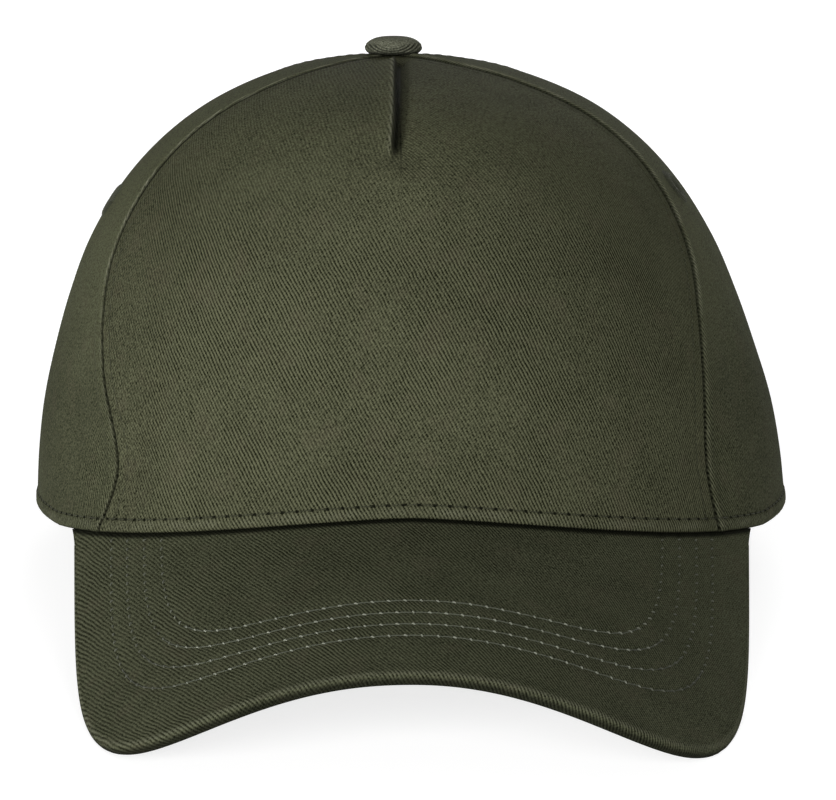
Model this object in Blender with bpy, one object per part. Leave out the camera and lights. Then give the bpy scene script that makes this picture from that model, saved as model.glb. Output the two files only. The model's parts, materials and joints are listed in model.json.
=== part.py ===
# Five-panel cap: a crown of five cloth panels with a dart at the top of the wide front one,
# a stiff curved peak, a sweatband, a strap behind, a covered button and four sewn eyelets.
# Metres, +Z up, the front towards -Y. The cap rests on z = 0 on its peak's corners and its
# back rim, so the crown is modelled upright in its own frame and tilted onto the floor.
import math

import bmesh
import bpy
from mathutils import Matrix, Vector

# Crown
CROWN_HALF_WIDTH = 0.0870
CROWN_FRONT_REACH = 0.0980
CROWN_BACK_REACH = 0.1010
CROWN_HEIGHT = 0.1048
CROWN_LEAN = 0.0040
PLAN_EXPONENT = 2.15
RIM_ARCH_RISE = 0.0110
RIM_ARCH_HALF_SPAN = 0.0800
RIM_SIDE_LIFT = 0.0018
FRONT_WALL = 0.0016
SIDE_WALL = 0.0012
BACK_WALL = 0.0012
SEAM_GAP = 0.0003
CLEARANCE = 0.0004

# Each row is one level of the crown, from the rim up: its height, half width, reach to the
# front and back and lean to the left as shares of the sizes above, and where the seams cross
# it, in degrees round from the front.
SECTION_COLUMNS = (
    "height", "width", "front", "back", "lean", "left_seam", "right_seam", "back_seam",
)
SECTIONS = (
    (0.000, 1.000, 1.000, 1.000, 0.00, 52.0, 50.5, 115.0),
    (0.120, 0.990, 1.000, 0.996, 0.09, 49.0, 49.5, 115.5),
    (0.240, 0.969, 0.994, 0.980, 0.20, 50.0, 50.5, 116.0),
    (0.360, 0.932, 0.982, 0.950, 0.34, 55.0, 53.5, 117.0),
    (0.480, 0.887, 0.958, 0.905, 0.45, 59.5, 57.5, 118.0),
    (0.600, 0.829, 0.917, 0.840, 0.53, 63.0, 62.5, 119.0),
    (0.720, 0.741, 0.850, 0.748, 0.57, 65.0, 66.5, 120.0),
    (0.820, 0.631, 0.755, 0.638, 0.58, 66.0, 68.5, 121.0),
    (0.900, 0.497, 0.630, 0.498, 0.62, 65.0, 67.0, 121.0),
    (0.960, 0.330, 0.440, 0.330, 0.78, 60.0, 62.0, 120.0),
    (0.990, 0.165, 0.230, 0.165, 0.95, 55.0, 55.0, 118.0),
    (1.000, 0.000, 0.000, 0.000, 1.00, 53.0, 53.0, 116.0),
)

# Soft dents and swells: where each one lies round the crown and up it, how far it spreads,
# and its depth as a share of the crown's half width, inwards where negative.
DENT_COLUMNS = ("angle", "level", "angle_spread", "level_spread", "depth")
DENTS = (
    (-47.0, 0.11, 7.0, 0.070, -0.018),
    (-62.0, 0.20, 6.0, 0.120, -0.008),
    (51.0, 0.12, 6.0, 0.080, -0.009),
    (64.0, 0.24, 6.0, 0.120, -0.007),
    (0.0, 0.60, 9.0, 0.035, 0.009),
    (-24.0, 0.40, 20.0, 0.180, 0.010),
    (26.0, 0.42, 20.0, 0.180, 0.008),
)

# The dart is a pleat whose left lip laps over a groove: offsets across it as shares of its
# half width, and the relief there as a share of its depth.
DART_HALF_WIDTH = 0.0060
DART_DEPTH = 0.0013
DART_FOOT_LEVEL = 0.630
DART_HEAD_LEVEL = 0.700
DART_COLUMNS = ("across", "relief")
DART_FOLD = (
    (-1.00, 0.00),
    (-0.50, 0.25),
    (-0.10, 0.55),
    (0.05, -1.00),
    (0.30, -0.80),
    (0.60, -0.20),
    (1.00, 0.00),
)

# Arch cut out of the back panels, over the strap
ARCH_HALF_WIDTH = 0.0375
ARCH_HEIGHT = 0.0460
ARCH_EXPONENT = 2.5

# Peak
PEAK_HALF_WIDTH = 0.0764
PEAK_FRONT_HALF_WIDTH = 0.0703
PEAK_LENGTH = 0.0648
PEAK_CORNER_EXPONENT = 4.7
PEAK_SLOPE = 19.3
PEAK_CURVE_DROP = 0.0384
PEAK_CURVE_EXPONENT_LEFT = 2.20
PEAK_CURVE_EXPONENT_RIGHT = 2.04
PEAK_THICKNESS = 0.0028
PEAK_TUCK = 0.0015
PEAK_END_LENGTH = 0.0070

# Sweatband
SWEATBAND_WALL = 0.0011
SWEATBAND_HEIGHT = 0.0320
SWEATBAND_RAISE = 0.0006
SWEATBAND_LAP = 0.0020

# Back strap
STRAP_HEIGHT = 0.0200
STRAP_WALL = 0.0018
STRAP_RAISE = 0.0013
STRAP_TUCK = 0.0130

# Button
BUTTON_RADIUS = 0.0066
BUTTON_HEIGHT = 0.0040
BUTTON_EDGE_HEIGHT = 0.0012
BUTTON_BASE_RADIUS = 0.0057
BUTTON_SHANK_RADIUS = 0.0012
BUTTON_PLATE_RADIUS = 0.0040
BUTTON_PLATE_WALL = 0.0008

# Sewn eyelets: where each one sits, in degrees round from the front and by level
EYELET_RADIUS = 0.0046
EYELET_HOLE_RADIUS = 0.0019
EYELET_NECK_RADIUS = 0.0029
EYELET_FLANGE = 0.0008
EYELET_BACK_RADIUS = 0.0040
EYELET_COLUMNS = ("name", "panel", "angle", "level")
EYELETS = (
    ("eyelet_side_left", "side_panel_left", -84.0, 0.520),
    ("eyelet_side_right", "side_panel_right", 77.0, 0.550),
    ("eyelet_back_left", "back_panel_left", -150.0, 0.550),
    ("eyelet_back_right", "back_panel_right", 150.0, 0.550),
)

# How far the cloth flattens where it rests on the floor
REST_FLAT = 0.0007

# Mesh densities
ROWS_UP_CROWN = 20
FRONT_COLUMNS_EACH_SIDE = 7
SIDE_COLUMNS = 8
BACK_COLUMNS = 5
ARCH_COLUMNS = 8
PEAK_COLUMNS = 44
PEAK_ROWS = 7
OUTLINE_STEPS = 200
EDGE_STEPS = 4
SWEATBAND_COLUMNS = 44
SWEATBAND_ROWS = 3
STRAP_COLUMNS = 18
STRAP_ROWS = 3
BUTTON_ROWS = 7
ROUND_SIDES = 20

# Colours, linear, and surface values
CLOTH_COLOUR = (0.060, 0.063, 0.038)
LINING_COLOUR = (0.048, 0.051, 0.031)
THREAD_COLOUR = (0.072, 0.078, 0.050)
CLOTH_ROUGHNESS = 0.92
THREAD_ROUGHNESS = 0.70

# Small step used to work out slopes, and the two ends of the angles round the crown
NUDGE_SHARE = 0.002
FRONT = 0.0
BACK = math.pi


def named_rows(columns, rows):
    return [dict(zip(columns, row)) for row in rows]


SOFT_DENTS = named_rows(DENT_COLUMNS, DENTS)
DART_POINTS = named_rows(DART_COLUMNS, DART_FOLD)


def smooth_step(low, high, value):
    share = min(max((value - low) / (high - low), 0.0), 1.0)
    return share * share * (3.0 - 2.0 * share)


# Smooth value of one column of the section table, at a level from 0 at the rim to 1 on top
def section(column, level):
    values = [row[SECTION_COLUMNS.index(column)] for row in SECTIONS]
    last = len(values) - 1
    place = min(max(level, 0.0), 1.0) * last
    index = min(int(place), last - 1)
    share = place - index
    before = values[index - 1] if index > 0 else 2.0 * values[0] - values[1]
    start = values[index]
    end = values[index + 1]
    after = values[index + 2] if index + 2 <= last else 2.0 * values[last] - values[last - 1]
    linear = end - before
    square = 2.0 * before - 5.0 * start + 4.0 * end - after
    cube = 3.0 * start - before - 3.0 * end + after
    return start + 0.5 * share * (linear + share * (square + share * cube))


def plan_axes(angle):
    power = 2.0 / PLAN_EXPONENT
    across = math.copysign(abs(math.sin(angle)) ** power, math.sin(angle))
    along = math.copysign(abs(math.cos(angle)) ** power, math.cos(angle))
    return across, along


# Angle round the crown at which its rim is at a given distance from the centre line
def rim_angle(half_width):
    share = min(abs(half_width) / CROWN_HALF_WIDTH, 1.0)
    return math.copysign(math.asin(share ** (PLAN_EXPONENT / 2.0)), half_width)


# Rise of the rim: an arch over the peak, and a slight lift at both sides
def rim_rise(angle):
    across, along = plan_axes(angle)
    rise = RIM_SIDE_LIFT * math.sin(angle) ** 4
    share = abs(across) * CROWN_HALF_WIDTH / RIM_ARCH_HALF_SPAN
    if along > 0.0 and share < 1.0:
        rise += RIM_ARCH_RISE * (1.0 - share ** 1.5)
    return rise


def smooth_crown(angle, level):
    across, along = plan_axes(angle)
    reach = CROWN_FRONT_REACH if along > 0.0 else CROWN_BACK_REACH
    share = section("front", level) if along > 0.0 else section("back", level)
    height = section("height", level)
    lean = section("lean", level)
    fade = max(1.0 - 2.0 * level, 0.0) ** 1.5
    return Vector((
        CROWN_HALF_WIDTH * section("width", level) * across - CROWN_LEAN * lean,
        -reach * share * along,
        CROWN_HEIGHT * height + rim_rise(angle) * fade,
    ))


# Length of crown passed for each radian round it
def speed_round(angle, level):
    step = smooth_crown(angle + NUDGE_SHARE, level) - smooth_crown(angle - NUDGE_SHARE, level)
    return step.length / (2.0 * NUDGE_SHARE)


def dart_reach(level):
    narrowest = 0.5 * math.radians(section("right_seam", level))
    return min(DART_HALF_WIDTH / speed_round(FRONT, level), narrowest)


def dart_relief(angle, level):
    lip = smooth_step(DART_FOOT_LEVEL, DART_HEAD_LEVEL, level)
    radius = CROWN_HALF_WIDTH * section("width", level)
    lip *= smooth_step(BUTTON_RADIUS + CLEARANCE, 1.5 * BUTTON_RADIUS, radius)
    across = angle / dart_reach(level)
    if lip == 0.0 or abs(across) >= 1.0:
        return 0.0
    for start, end in zip(DART_POINTS, DART_POINTS[1:]):
        if start["across"] <= across <= end["across"]:
            share = (across - start["across"]) / (end["across"] - start["across"])
            return DART_DEPTH * lip * (start["relief"] + (end["relief"] - start["relief"]) * share)
    return 0.0


def relief(angle, level):
    total = 0.0
    for dent in SOFT_DENTS:
        far = (math.degrees(angle) - dent["angle"]) / dent["angle_spread"]
        high = (level - dent["level"]) / dent["level_spread"]
        total += CROWN_HALF_WIDTH * dent["depth"] * math.exp(-far * far - high * high)
    if abs(angle) < 0.5 * math.pi:
        total += dart_relief(angle, level)
    return total


def crown_normal(angle, level):
    low = max(level - NUDGE_SHARE, 0.0)
    high = min(level + NUDGE_SHARE, 1.0)
    round_step = smooth_crown(angle + NUDGE_SHARE, level) - smooth_crown(angle - NUDGE_SHARE, level)
    up_step = smooth_crown(angle, high) - smooth_crown(angle, low)
    return round_step.cross(up_step).normalized()


# Point on the crown's outer face, or the given distance inside it
def crown_point(angle, level, inset=0.0):
    normal = crown_normal(angle, level)
    return smooth_crown(angle, level) + normal * (relief(angle, level) - inset)


# Level at which a column of the crown is a given height above the rim
def level_at_height(angle, height):
    low = 0.0
    high = 1.0
    base = smooth_crown(angle, 0.0).z
    for _ in range(40):
        middle = 0.5 * (low + high)
        if smooth_crown(angle, middle).z - base < height:
            low = middle
        else:
            high = middle
    return 0.5 * (low + high)


# Level at which the crown has closed to a given radius round the button's shank
def level_at_radius(radius):
    low = 0.5
    high = 1.0
    for _ in range(40):
        middle = 0.5 * (low + high)
        if CROWN_HALF_WIDTH * section("width", middle) > radius:
            low = middle
        else:
            high = middle
    return 0.5 * (low + high)


def spaced(start, end, count):
    return [start + (end - start) * step / count for step in range(count + 1)]


def cloth_material(name, colour, roughness):
    material = bpy.data.materials.new(name)
    material.use_nodes = True
    surface = material.node_tree.nodes["Principled BSDF"]
    surface.inputs["Base Color"].default_value = (*colour, 1.0)
    surface.inputs["Roughness"].default_value = roughness
    surface.inputs["Metallic"].default_value = 0.0
    return material


def add_object(name, mesh_maker, material, parent):
    mesh = bpy.data.meshes.new(name)
    bmesh.ops.recalc_face_normals(mesh_maker, faces=mesh_maker.faces)
    mesh_maker.to_mesh(mesh)
    mesh_maker.free()
    mesh.shade_smooth()
    mesh.set_sharp_from_angle(angle=math.radians(40.0))
    piece = bpy.data.objects.new(name, mesh)
    bpy.context.collection.objects.link(piece)
    piece.parent = parent
    if material is not None:
        mesh.materials.append(material)
    return piece


# Closed cloth wall over a grid: outer and inner hold a list of points for each column
def cloth_wall(name, outer, inner, material, parent):
    maker = bmesh.new()
    faces_out = [[maker.verts.new(point) for point in column] for column in outer]
    faces_in = [[maker.verts.new(point) for point in column] for column in inner]
    columns = len(outer)
    rows = len(outer[0])
    for i in range(columns - 1):
        for j in range(rows - 1):
            for side in (faces_out, faces_in):
                maker.faces.new((side[i][j], side[i + 1][j], side[i + 1][j + 1], side[i][j + 1]))
        for j in (0, rows - 1):
            edge = (faces_out[i][j], faces_out[i + 1][j], faces_in[i + 1][j], faces_in[i][j])
            maker.faces.new(edge)
    for j in range(rows - 1):
        for i in (0, columns - 1):
            edge = (faces_out[i][j], faces_out[i][j + 1], faces_in[i][j + 1], faces_in[i][j])
            maker.faces.new(edge)
    return add_object(name, maker, material, parent)


# Closed body lofted through rings of points, with its first and last ring filled
def lofted_body(name, rings, material, parent):
    maker = bmesh.new()
    loops = [[maker.verts.new(point) for point in ring] for ring in rings]
    count = len(loops[0])
    for low, high in zip(loops, loops[1:]):
        for i in range(count):
            following = (i + 1) % count
            maker.faces.new((low[i], low[following], high[following], high[i]))
    maker.faces.new(loops[0])
    maker.faces.new(loops[-1])
    return add_object(name, maker, material, parent)


# Body turned round an axis, from a closed or pole-to-pole profile of radius and height
def turned_body(name, profile, place, axis, material, parent):
    turn = Vector((0.0, 0.0, 1.0)).rotation_difference(axis).to_matrix()
    maker = bmesh.new()
    rings = []
    for radius, height in profile:
        if radius == 0.0:
            rings.append([maker.verts.new(place + turn @ Vector((0.0, 0.0, height)))])
            continue
        ring = []
        for side in range(ROUND_SIDES):
            angle = 2.0 * math.pi * side / ROUND_SIDES
            spoke = Vector((radius * math.cos(angle), radius * math.sin(angle), height))
            ring.append(maker.verts.new(place + turn @ spoke))
        rings.append(ring)
    closed = len(rings[0]) > 1
    pairs = list(zip(rings, rings[1:])) + ([(rings[-1], rings[0])] if closed else [])
    for low, high in pairs:
        for i in range(ROUND_SIDES):
            following = (i + 1) % ROUND_SIDES
            if len(low) == 1:
                maker.faces.new((low[0], high[following], high[i]))
            elif len(high) == 1:
                maker.faces.new((low[i], low[following], high[0]))
            else:
                maker.faces.new((low[i], low[following], high[following], high[i]))
    return add_object(name, maker, material, parent)


def seam_angle(column, level):
    return math.radians(section(column, level))


# Angle of a panel's edge at a seam, held back from it by half the seam's gap
def edge_angle(seam, level, side):
    return seam - side * 0.5 * SEAM_GAP / speed_round(seam, level)


def panel_levels(low, top):
    return spaced(low, top, ROWS_UP_CROWN)


def panel_wall(name, columns, wall, material, parent):
    outer = [[crown_point(angle, level) for angle, level in column] for column in columns]
    inner = [[crown_point(angle, level, wall) for angle, level in column] for column in columns]
    return cloth_wall(name, outer, inner, material, parent)


# Wide front panel, from seam to seam, with extra columns where the dart folds it
def build_front_panel(top, material, parent):
    levels = panel_levels(0.0, top)
    rows = []
    for level in levels:
        left = edge_angle(-seam_angle("left_seam", level), level, -1.0)
        right = edge_angle(seam_angle("right_seam", level), level, 1.0)
        reach = dart_reach(level)
        row = spaced(left, -reach, FRONT_COLUMNS_EACH_SIDE)
        row += [reach * point["across"] for point in DART_POINTS[1:-1]]
        row += spaced(reach, right, FRONT_COLUMNS_EACH_SIDE)
        rows.append([(angle, level) for angle in row])
    columns = [list(column) for column in zip(*rows)]
    return panel_wall("front_panel", columns, FRONT_WALL, material, parent)


def build_side_panel(name, seam, side, top, material, parent):
    rows = []
    for level in panel_levels(0.0, top):
        front = edge_angle(side * seam_angle(seam, level), level, -side)
        back = edge_angle(side * seam_angle("back_seam", level), level, side)
        rows.append([(angle, level) for angle in spaced(front, back, SIDE_COLUMNS)])
    columns = [list(column) for column in zip(*rows)]
    return panel_wall(name, columns, SIDE_WALL, material, parent)


# Height of the arch over the rim at a distance from the centre line
def arch_height(half_width):
    share = min(abs(half_width) / ARCH_HALF_WIDTH, 1.0)
    return ARCH_HEIGHT * (1.0 - share ** ARCH_EXPONENT) ** (1.0 / ARCH_EXPONENT)


# Back panel: plain columns from the side seam, then columns that stop at the arch, crowded
# towards its steep side low down and evenly spaced higher up
def build_back_panel(name, side, top, material, parent):
    arch_edge = BACK - rim_angle(ARCH_HALF_WIDTH)
    columns = []
    for step in range(BACK_COLUMNS):
        share = step / BACK_COLUMNS
        column = []
        for level in panel_levels(0.0, top):
            seam = edge_angle(seam_angle("back_seam", level), level, -1.0)
            column.append((side * (seam + (arch_edge - seam) * share), level))
        columns.append(column)
    for step in range(ARCH_COLUMNS + 1):
        even = step / ARCH_COLUMNS
        half_width = ARCH_HALF_WIDTH * math.cos(0.5 * math.pi * even)
        angle = BACK - rim_angle(half_width)
        crowded = (angle - arch_edge) / (BACK - arch_edge)
        low = level_at_height(angle, arch_height(half_width))
        column = []
        for level in panel_levels(low, top):
            share = crowded + (even - crowded) * smooth_step(low, top, level)
            middle = edge_angle(BACK, level, 1.0)
            column.append((side * (arch_edge + (middle - arch_edge) * share), level))
        columns.append(column)
    return panel_wall(name, columns, BACK_WALL, material, parent)


# The peak bends down a little more steeply near its right end than near its left one
def peak_curve_exponent(x):
    return PEAK_CURVE_EXPONENT_LEFT if x < 0.0 else PEAK_CURVE_EXPONENT_RIGHT


# Height of the peak's curved sheet at a place in plan, and its upward normal there
def peak_sheet(x, y):
    slope = math.tan(math.radians(PEAK_SLOPE))
    bend = PEAK_CURVE_DROP * (abs(x) / PEAK_HALF_WIDTH) ** peak_curve_exponent(x)
    return RIM_ARCH_RISE + (y + CROWN_FRONT_REACH) * slope - bend


def peak_normal(x):
    share = abs(x) / PEAK_HALF_WIDTH
    exponent = peak_curve_exponent(x)
    steep = PEAK_CURVE_DROP * exponent * share ** (exponent - 1.0)
    across = math.copysign(steep / PEAK_HALF_WIDTH, x)
    return Vector((across, -math.tan(math.radians(PEAK_SLOPE)), 1.0)).normalized()


# Points round the peak's free edge, from its left end to its right one
def peak_outline():
    _, along = plan_axes(rim_angle(PEAK_HALF_WIDTH))
    end_y = -CROWN_FRONT_REACH * along
    front_y = -CROWN_FRONT_REACH - PEAK_LENGTH
    rim_end = smooth_crown(rim_angle(PEAK_HALF_WIDTH), 0.0).z
    raise_end = rim_end - peak_sheet(PEAK_HALF_WIDTH, end_y)
    power = 2.0 / PEAK_CORNER_EXPONENT
    points = []
    for step in range(-OUTLINE_STEPS, OUTLINE_STEPS + 1):
        share = abs(step) / OUTLINE_STEPS
        turn = 0.5 * math.pi * math.copysign(share ** (0.5 * PEAK_CORNER_EXPONENT), step)
        across = math.copysign(abs(math.sin(turn)) ** power, turn)
        ahead = abs(math.cos(turn)) ** power
        x = across * (PEAK_HALF_WIDTH + (PEAK_FRONT_HALF_WIDTH - PEAK_HALF_WIDTH) * ahead)
        y = end_y + (front_y - end_y) * ahead
        z = peak_sheet(x, y) + raise_end * (1.0 - ahead) ** 2
        points.append(Vector((x, y, z)))
    return points


# Point at a share of the length of a line of points
def point_along(points, share):
    lengths = [0.0]
    for start, end in zip(points, points[1:]):
        lengths.append(lengths[-1] + (end - start).length)
    target = share * lengths[-1]
    for i in range(len(points) - 1):
        if lengths[i + 1] >= target:
            part = (target - lengths[i]) / max(lengths[i + 1] - lengths[i], 1e-9)
            return points[i].lerp(points[i + 1], part)
    return points[-1].copy()


# Peak: straight rulings run from the crown's rim, where it is tucked in, to its free edge,
# which is rounded
def build_peak(material, parent):
    outline = peak_outline()
    outline_length = sum((end - start).length for start, end in zip(outline, outline[1:]))
    first = PEAK_END_LENGTH / outline_length
    half = 0.5 * PEAK_THICKNESS
    gap = Vector((0.0, 0.0, SEAM_GAP))
    widest = rim_angle(PEAK_HALF_WIDTH)
    rings = []
    for share in spaced(first, 1.0 - first, PEAK_COLUMNS):
        angle = widest * math.sin(math.pi * (share - 0.5))
        tucked = crown_point(angle, 0.0, PEAK_TUCK) - gap
        rim = crown_point(angle, 0.0) - gap
        edge = point_along(outline, share)
        onward = point_along(outline, share + 0.5 * first) - point_along(outline, share - 0.5 * first)
        edge_normal = peak_normal(edge.x)
        outward = onward.cross(edge_normal).normalized()
        centre = edge - outward * half - edge_normal * half
        ring = [tucked]
        under = [tucked - peak_normal(tucked.x) * PEAK_THICKNESS]
        for v in spaced(0.0, 1.0, PEAK_ROWS):
            point = rim.lerp(centre + edge_normal * half, v)
            ring.append(point)
            under.append(point - peak_normal(point.x).lerp(edge_normal, v) * PEAK_THICKNESS)
        for step in range(1, EDGE_STEPS):
            turn = math.pi * step / EDGE_STEPS
            arm = edge_normal * math.cos(turn) + outward * math.sin(turn)
            ring.append(centre + arm * half)
        rings.append(ring + under[::-1])
    return lofted_body("peak", rings, material, parent)


# Distance inside the crown's outer face of the strap, and of the sweatband that covers it
def strap_inset():
    return BACK_WALL + SEAM_GAP


def sweatband_inset(angle):
    plain = FRONT_WALL + CLEARANCE
    over_strap = strap_inset() + STRAP_WALL + SEAM_GAP
    strap_end = BACK - rim_angle(ARCH_HALF_WIDTH + STRAP_TUCK)
    share = smooth_step(strap_end - math.radians(14.0), strap_end - math.radians(2.0), abs(angle))
    return plain + (over_strap - plain) * share


def band_wall(name, angles, base, height, rows, inset, wall, material, parent):
    outer = []
    inner = []
    for angle in angles:
        low = level_at_height(angle, base)
        high = level_at_height(angle, base + height)
        levels = spaced(low, high, rows)
        outer.append([crown_point(angle, level, inset(angle)) for level in levels])
        inner.append([crown_point(angle, level, inset(angle) + wall) for level in levels])
    return cloth_wall(name, outer, inner, material, parent)


def build_sweatband(material, parent):
    end = BACK - rim_angle(ARCH_HALF_WIDTH + SWEATBAND_LAP)
    angles = spaced(-end, end, SWEATBAND_COLUMNS)
    return band_wall("sweatband", angles, SWEATBAND_RAISE, SWEATBAND_HEIGHT, SWEATBAND_ROWS,
                     sweatband_inset, SWEATBAND_WALL, material, parent)


def build_strap(material, parent):
    end = rim_angle(ARCH_HALF_WIDTH + STRAP_TUCK)
    angles = spaced(BACK - end, BACK + end, STRAP_COLUMNS)
    return band_wall("back_strap", angles, STRAP_RAISE, STRAP_HEIGHT, STRAP_ROWS,
                     lambda angle: strap_inset(), STRAP_WALL, material, parent)


# Covered button on a shank that passes between the panels' tips to a plate inside
def build_button(material, parent):
    seat = SEAM_GAP
    plate = -FRONT_WALL - CLEARANCE - BUTTON_PLATE_WALL
    profile = [(0.0, plate), (BUTTON_PLATE_RADIUS, plate)]
    profile.append((BUTTON_PLATE_RADIUS, plate + BUTTON_PLATE_WALL))
    profile.append((BUTTON_SHANK_RADIUS, plate + BUTTON_PLATE_WALL))
    profile.append((BUTTON_SHANK_RADIUS, seat))
    profile.append((BUTTON_BASE_RADIUS, seat))
    for step in range(BUTTON_ROWS):
        turn = 0.5 * math.pi * step / BUTTON_ROWS
        height = BUTTON_EDGE_HEIGHT + (BUTTON_HEIGHT - BUTTON_EDGE_HEIGHT) * math.sin(turn)
        profile.append((BUTTON_RADIUS * math.cos(turn) ** 0.7, seat + height))
    profile.append((0.0, seat + BUTTON_HEIGHT))
    place = Vector((-CROWN_LEAN, 0.0, CROWN_HEIGHT))
    return turned_body("top_button", profile, place, Vector((0.0, 0.0, 1.0)), material, parent)


# Sewn eyelet: a ring with a flange outside the cloth, a neck through it and a flange inside
def build_eyelet(row, panel, material, parent):
    name = row["name"]
    turn = math.radians(row["angle"])
    place = crown_point(turn, row["level"])
    axis = crown_normal(turn, row["level"])
    hug = EYELET_RADIUS ** 2 / CROWN_HALF_WIDTH
    inside = -SIDE_WALL - CLEARANCE - hug
    profile = [
        (EYELET_HOLE_RADIUS, inside - 0.5 * EYELET_FLANGE),
        (EYELET_BACK_RADIUS, inside - 0.5 * EYELET_FLANGE),
        (EYELET_BACK_RADIUS, inside),
        (EYELET_NECK_RADIUS, inside),
        (EYELET_NECK_RADIUS, SEAM_GAP),
        (EYELET_RADIUS, SEAM_GAP),
        (EYELET_RADIUS - 0.2 * EYELET_FLANGE, SEAM_GAP + 0.6 * EYELET_FLANGE),
        (0.5 * (EYELET_RADIUS + EYELET_HOLE_RADIUS), SEAM_GAP + EYELET_FLANGE),
        (EYELET_HOLE_RADIUS + 0.3 * EYELET_FLANGE, SEAM_GAP + 0.7 * EYELET_FLANGE),
        (EYELET_HOLE_RADIUS, SEAM_GAP),
    ]
    piece = turned_body(name, profile, place, axis, material, parent)
    cut_radius = EYELET_NECK_RADIUS + CLEARANCE
    reach = 4.0 * SIDE_WALL
    cut_profile = [(0.0, -reach), (cut_radius, -reach), (cut_radius, reach), (0.0, reach)]
    cutter = turned_body(name + "_hole", cut_profile, place, axis, None, parent)
    cutter.hide_render = True
    cutter.display_type = "WIRE"
    cut = panel.modifiers.new("eyelet hole", "BOOLEAN")
    cut.operation = "DIFFERENCE"
    cut.solver = "EXACT"
    cut.object = cutter
    return piece


# Tilt about X at which the lowest points of the peak and of the back are level
def resting_tilt(front_points, back_points):
    low = 0.0
    high = math.radians(30.0)
    for _ in range(50):
        tilt = 0.5 * (low + high)
        sine = math.sin(tilt)
        cosine = math.cos(tilt)
        front = min(point.z * cosine - point.y * sine for point in front_points)
        back = min(point.z * cosine - point.y * sine for point in back_points)
        if front < back:
            low = tilt
        else:
            high = tilt
    return tilt


# Sets the frame so that the cap rests on the floor over the origin, and flattens what touches
def settle(frame, pieces, peak):
    peak_points = [vertex.co for vertex in peak.data.vertices]
    back_points = [vertex.co for piece in pieces if piece is not peak
                   for vertex in piece.data.vertices if vertex.co.y > 0.0]
    tilt = resting_tilt(peak_points, back_points)
    turn = Matrix.Rotation(-tilt, 4, "X")
    turned = [turn @ vertex.co for piece in pieces for vertex in piece.data.vertices]
    lows = [min(point[axis] for point in turned) for axis in range(3)]
    highs = [max(point[axis] for point in turned) for axis in range(3)]
    shift = Vector((-0.5 * (lows[0] + highs[0]), -0.5 * (lows[1] + highs[1]), -lows[2] - REST_FLAT))
    world = Matrix.Translation(shift) @ turn
    back_home = world.inverted()
    for piece in pieces:
        for vertex in piece.data.vertices:
            point = world @ vertex.co
            if point.z < 0.0:
                point.z = 0.0
                vertex.co = back_home @ point
    frame.location = shift
    frame.rotation_euler = (-tilt, 0.0, 0.0)


def build_cap():
    for item in list(bpy.data.objects):
        bpy.data.objects.remove(item, do_unlink=True)
    frame = bpy.data.objects.new("crown_frame", None)
    bpy.context.collection.objects.link(frame)

    front_cloth = cloth_material("front panel twill", CLOTH_COLOUR, CLOTH_ROUGHNESS)
    side_cloth = cloth_material("side panel twill", CLOTH_COLOUR, CLOTH_ROUGHNESS)
    back_cloth = cloth_material("back panel twill", CLOTH_COLOUR, CLOTH_ROUGHNESS)
    peak_cloth = cloth_material("peak twill", CLOTH_COLOUR, CLOTH_ROUGHNESS)
    band_cloth = cloth_material("sweatband cloth", LINING_COLOUR, CLOTH_ROUGHNESS)
    strap_cloth = cloth_material("strap twill", CLOTH_COLOUR, CLOTH_ROUGHNESS)
    button_cloth = cloth_material("button cloth", CLOTH_COLOUR, CLOTH_ROUGHNESS)
    thread = cloth_material("eyelet thread", THREAD_COLOUR, THREAD_ROUGHNESS)

    top = level_at_radius(BUTTON_SHANK_RADIUS + CLEARANCE)
    peak = build_peak(peak_cloth, frame)
    panels = [
        build_front_panel(top, front_cloth, frame),
        build_side_panel("side_panel_left", "left_seam", -1.0, top, side_cloth, frame),
        build_side_panel("side_panel_right", "right_seam", 1.0, top, side_cloth, frame),
        build_back_panel("back_panel_left", -1.0, top, back_cloth, frame),
        build_back_panel("back_panel_right", 1.0, top, back_cloth, frame),
    ]
    pieces = panels + [
        peak,
        build_sweatband(band_cloth, frame),
        build_strap(strap_cloth, frame),
        build_button(button_cloth, frame),
    ]
    by_name = {panel.name: panel for panel in panels}
    for row in named_rows(EYELET_COLUMNS, EYELETS):
        pieces.append(build_eyelet(row, by_name[row["panel"]], thread, frame))
    settle(frame, pieces, peak)


build_cap()
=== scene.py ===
import json
import math

import bmesh
import bpy
import numpy as np
from mathutils import Matrix, Vector


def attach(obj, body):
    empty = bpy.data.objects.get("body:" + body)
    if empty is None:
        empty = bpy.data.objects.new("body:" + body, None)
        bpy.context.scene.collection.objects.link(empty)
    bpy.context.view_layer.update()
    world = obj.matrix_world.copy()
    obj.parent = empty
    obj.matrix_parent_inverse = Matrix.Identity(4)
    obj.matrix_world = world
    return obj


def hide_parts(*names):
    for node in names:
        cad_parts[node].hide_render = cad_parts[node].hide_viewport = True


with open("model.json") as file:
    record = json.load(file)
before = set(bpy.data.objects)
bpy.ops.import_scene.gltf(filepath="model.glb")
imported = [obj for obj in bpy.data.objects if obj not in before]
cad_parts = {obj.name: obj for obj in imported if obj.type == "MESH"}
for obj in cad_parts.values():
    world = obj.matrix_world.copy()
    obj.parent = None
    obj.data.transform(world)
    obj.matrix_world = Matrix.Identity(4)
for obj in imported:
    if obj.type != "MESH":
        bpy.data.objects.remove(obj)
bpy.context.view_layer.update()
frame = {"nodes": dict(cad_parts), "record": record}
mm = 0.001
print("frame loaded:", len(frame["nodes"]), "nodes")

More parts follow.
